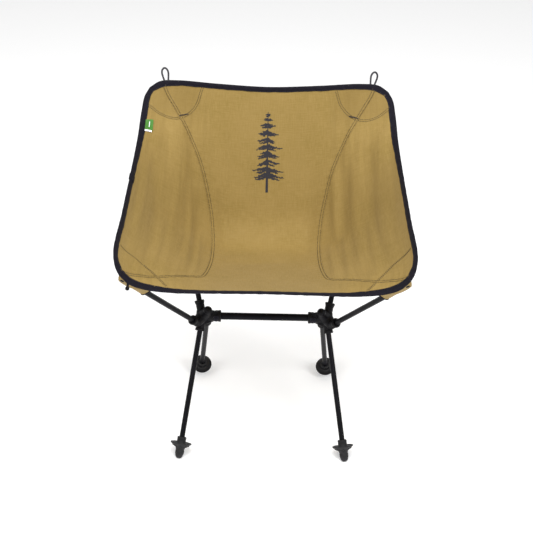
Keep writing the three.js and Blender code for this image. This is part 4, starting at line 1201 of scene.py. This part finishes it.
foot = {
    # one turned outline, from the tip of the ball up: radius and height above the flange's plane
    "outline": [(0.4, -29.0), (2.6, -28.7), (4.9, -27.5), (6.5, -25.6), (7.6, -23.2), (8.2, -20.6),
                (8.75, -18.2), (8.9, -16.4), (8.5, -15.9), (8.5, -15.3), (8.95, -14.8), (8.8, -13.4),
                (8.35, -12.6), (8.35, -12.0), (8.75, -11.4), (8.9, -9.6), (9.7, -7.4), (11.2, -5.5),
                (13.4, -3.9), (16.4, -2.3), (19.0, -0.6), (20.5, 0.9), (21.0, 2.0), (20.9, 2.7), (20.4, 3.0),
                (19.7, 2.75), (17.6, 1.9), (14.6, 1.2), (11.2, 1.3), (9.7, 1.9), (9.1, 3.0), (8.9, 5.0),
                (8.9, 11.3), (9.15, 11.9), (9.15, 13.0), (8.7, 13.8), (8.0, 14.2), (6.0, 14.2), (5.5, 13.8),
                (5.42, 12.5), (5.42, -5.6), (0.4, -5.9)],
    "flangeUp": 5.7,
    # a rib under the flange: its block, how it thins and climbs to the rim, and where it stands
    "rib": {"count": 8, "thick": 1.6, "long": 8.6, "deep": 5.0,
            "rimDeep": 0.35, "rimUp": 2.6, "out": 12.6, "down": 5.3},
}


def footPiece(kind, suffix):
    small = suffix.lower()
    legLow, legHigh = tubeAxis(f"{kind}_leg_{small}")
    up = (legHigh - legLow).normalized()
    flange = legLow + up * foot["flangeUp"] * mm
    name = f"{kind}Foot{suffix}"
    piece = turnedPiece(name, foot["outline"], flange, up, 64)
    # thin ribs under the flange, out to its rim
    rib = foot["rib"]
    turn = Vector((0, 0, 1)).rotation_difference(up).to_matrix().to_4x4()
    ribs = []
    for i in range(rib["count"]):
        deselectAll()
        bpy.ops.mesh.primitive_cube_add(size=1, location=(0, 0, 0))
        bar = bpy.context.object
        bar.data.transform(Matrix.Diagonal((rib["long"] * mm, rib["thick"] * mm, rib["deep"] * mm, 1)))
        for vertex in bar.data.vertices:
            if vertex.co.x > 0:
                vertex.co.z = vertex.co.z * rib["rimDeep"] + rib["rimUp"] * mm
        bar.data.transform(Matrix.Translation((rib["out"] * mm, 0, -rib["down"] * mm)))
        place = Matrix.Rotation(2 * math.pi * i / rib["count"], 4, "Z")
        bar.data.transform(Matrix.Translation(flange) @ turn @ place)
        ribs.append(bar)
    joinPieces(name, [piece] + ribs)
    # worn flat where it stands on the ground
    editAll(piece)
    bpy.ops.mesh.bisect(plane_co=(0, 0, 0.00002), plane_no=(0, 0, 1), clear_inner=True, use_fill=True)
    bpy.ops.object.mode_set(mode="OBJECT")
    finishPiece(piece, f"{kind}_leg_{small}_body", rubber, [f"{kind}_leg_foot_{small}"], 38)


for side, suffix in sides:
    for kind in ("front", "rear"):
        footPiece(kind, suffix)
print("feet made")


capShape = [(0.3, 0.0), (1.8, -0.15), (3.4, -0.75), (4.7, -1.9), (5.6, -3.4), (5.95, -5.0), (6.0, -8.2), (5.8, -8.9),
            (5.45, -9.0), (5.4, -3.6), (0.3, -3.5)]
for side, suffix in sides:
    for kind in ("front", "rear"):
        tip, way = poleTip(kind, suffix)
        cap = turnedPiece(f"{kind}PoleCap{suffix}", capShape, tip, way, 40)
        finishPiece(cap, "seat_frame", nylon, [f"{kind}_pole_cap_{suffix.lower()}"], 40)


hub = {"wall": 2.9, "play": 0.3, "lip": 1.2, "lipLong": 5.5, "barSocket": 37.0, "legLow": 31.0, "rearLegTop": 27.0,
       "frontLegTop": 8.0, "poleGrip": 20.0, "core": 13.2, "poleArm": 9.5, "legArm": 8.6, "boreSlack": 0.28,
       "voxel": 0.8, "smooth": 5, "rib": 4.2}


def socketPiece(closed, mouth, radius):
    # a socket with a domed closed end and a lip that flares at its mouth
    run = mouth - closed
    long = run.length / mm
    lip, lipLong = radius + hub["lip"], hub["lipLong"]
    profile = [(radius * 0.1, -radius * 0.62), (radius * 0.55, -radius * 0.5), (radius * 0.86, -radius * 0.26),
               (radius, 0.0), (radius, long - lipLong - 1.6), (lip, long - lipLong + 0.4), (lip + 0.35, long - 0.9),
               (lip - 0.4, long), (0.3, long)]
    return turnedPiece("socket", profile, closed, run, 40)


def limb(start, end, first, last):
    long = (end - start).length / mm
    return turnedPiece("limb", [(0.3, -first * 0.5), (first * 0.8, -first * 0.3), (first, 0), (last, long),
                                (last * 0.8, long + last * 0.3), (0.3, long + last * 0.5)], start, end - start, 24)


def webPlate(corners, thick, way):
    # a flat web between places in metres, given thickness along a direction
    plate = newPiece("web", corners, [tuple(range(len(corners)))])
    editAll(plate)
    bpy.ops.transform.translate(value=tuple(-way * thick / 2 * mm))
    bpy.ops.mesh.extrude_region_move(TRANSFORM_OT_translate={"value": tuple(way * thick * mm)})
    bpy.ops.object.mode_set(mode="OBJECT")
    cleanMesh(plate)
    return plate


def makeHub(side, suffix):
    small = suffix.lower()
    frontLow, frontTop = tubeAxis("front_leg_" + small)
    rearLow, rearTop = tubeAxis("rear_leg_" + small)
    frontPole, frontPoleEnd = tubeAxis("front_pole_" + small)
    rearPole, rearPoleEnd = tubeAxis("rear_pole_lower_" + small)
    frontUp, rearUp = (frontTop - frontLow).normalized(), (rearTop - rearLow).normalized()
    frontWay, rearWay = (frontPoleEnd - frontPole).normalized(), (rearPoleEnd - rearPole).normalized()
    # the front leg's axis meets the crossbar's at the centre
    centre = frontTop + frontUp * (hub["frontLegTop"] + hub["play"]) * mm
    rearCentre = rearTop - rearUp * (hub["rearLegTop"] - hub["play"]) * mm
    leg, pole, bar = [r + hub["play"] + hub["wall"] for r in (tubes["leg"], tubes["pole"], tubes["bar"])]
    barMouth = Vector((centre.x - side * hub["barSocket"] * mm, barY, barZ))
    frontMouth = frontPole + frontWay * (hub["poleGrip"] - hub["play"]) * mm
    rearMouth = rearPole + rearWay * (hub["poleGrip"] - hub["play"]) * mm

    def off(out, up):
        return Vector((side * out * mm, 0, up * mm))

    upperWeb = [barMouth + off(4, 9), barMouth + off(8, 0), centre, rearTop, rearTop - rearUp * mm + off(-5, 1)]
    lowerWeb = [barMouth + off(4, -8), centre, centre - frontUp * 24 * mm, centre - frontUp * 17 * mm + off(-9, 0)]
    parts = [
        socketPiece(centre + off(2, 0), barMouth, bar),
        socketPiece(frontTop, centre - frontUp * hub["legLow"] * mm, leg),
        socketPiece(rearTop, rearCentre - rearUp * hub["legLow"] * mm, leg),
        socketPiece(frontPole - frontWay * 1.5 * mm, frontMouth, pole),
        socketPiece(rearPole - rearWay * 1.5 * mm, rearMouth, pole),
        limb(centre, frontPole, hub["core"], hub["poleArm"]),
        limb(centre, rearPole, hub["core"], hub["poleArm"]),
        limb(centre, rearTop - rearUp * 6 * mm, hub["core"], hub["legArm"]),
        *[webPlate(web, hub["rib"], Vector((0, 1, 0))) for web in (upperWeb, lowerWeb)],
    ]
    piece = joinPieces("hub" + suffix, parts)
    # remeshed at a scale of one unit to the millimetre
    piece.data.transform(Matrix.Scale(1 / mm, 4))
    applyModifier(piece, "REMESH", mode="VOXEL", voxel_size=hub["voxel"])
    applyModifier(piece, "SMOOTH", factor=0.5, iterations=hub["smooth"])
    # bores for the tubes, each with a chamfered mouth
    for start, end, radius in ((centre - off(14, 0), barMouth, tubes["bar"]),
                               (frontTop, centre - frontUp * hub["legLow"] * mm, tubes["leg"]),
                               (rearTop, rearCentre - rearUp * hub["legLow"] * mm, tubes["leg"]),
                               (frontPole, frontMouth, tubes["pole"]), (rearPole, rearMouth, tubes["pole"])):
        long, r = (end - start).length / mm, radius + hub["boreSlack"]
        outline = [(0.3, -0.4), (r, -0.4), (r, long - 1.2), (r + 1.5, long + 0.6), (r + 1.5, long + 3),
                   (0.3, long + 3)]
        bore = turnedPiece("bore", outline, start, end - start, 40)
        bore.data.transform(Matrix.Scale(1 / mm, 4))
        applyModifier(piece, "BOOLEAN", operation="DIFFERENCE", object=bore, solver="EXACT")
        bpy.data.objects.remove(bore)
    piece.data.transform(Matrix.Scale(mm, 4))
    cleanMesh(piece, 1e-6)
    return piece


rightHub = makeHub(1, "Right")
leftHub = mirroredCopy(rightHub, "hubLeft")
for piece, suffix in ((rightHub, "Right"), (leftHub, "Left")):
    finishPiece(piece, "seat_frame", nylon, ["hub_" + suffix.lower()], 32)

rivet = {"radius": 4.1, "high": 1.9, "boss": 6.4, "shank": 1.9}


def rivetPin(suffix):
    # a domed head on a raised boss at each side of the hub
    low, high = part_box("crossbar_pin_" + suffix.lower())
    middle = (low + high) / 2
    r, h, boss, shank = rivet["radius"], rivet["high"], rivet["boss"], rivet["shank"]
    outline = [(shank, -(high.y - low.y) / 2 / mm + 1), (shank, -h - 0.2), (boss, -h - 2.4), (boss, -h - 0.3),
               (r + 0.7, -h), (r, -h), (r, -h * 0.6), (r * 0.8, -h * 0.18), (r * 0.35, 0.0), (0.3, 0.0)]
    heads = [turnedPiece("head", outline, Vector((middle.x, face, middle.z)), Vector((0, way, 0)), 36)
             for way, face in ((-1, low.y), (1, high.y))]
    pin = joinPieces("crossbarRivet" + suffix, heads)
    finishPiece(pin, "seat_frame", rivetSteel, ["crossbar_pin_" + suffix.lower()], 35)


for _, suffix in sides:
    rivetPin(suffix)
print("hubs made")

# inner pieces keep their CAD shape and get a finish

for name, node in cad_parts.items():
    finish = nylon if "plug" in name else elastic if "cord" in name else None
    if finish:
        node.data.materials.clear()
        node.data.materials.append(finish)
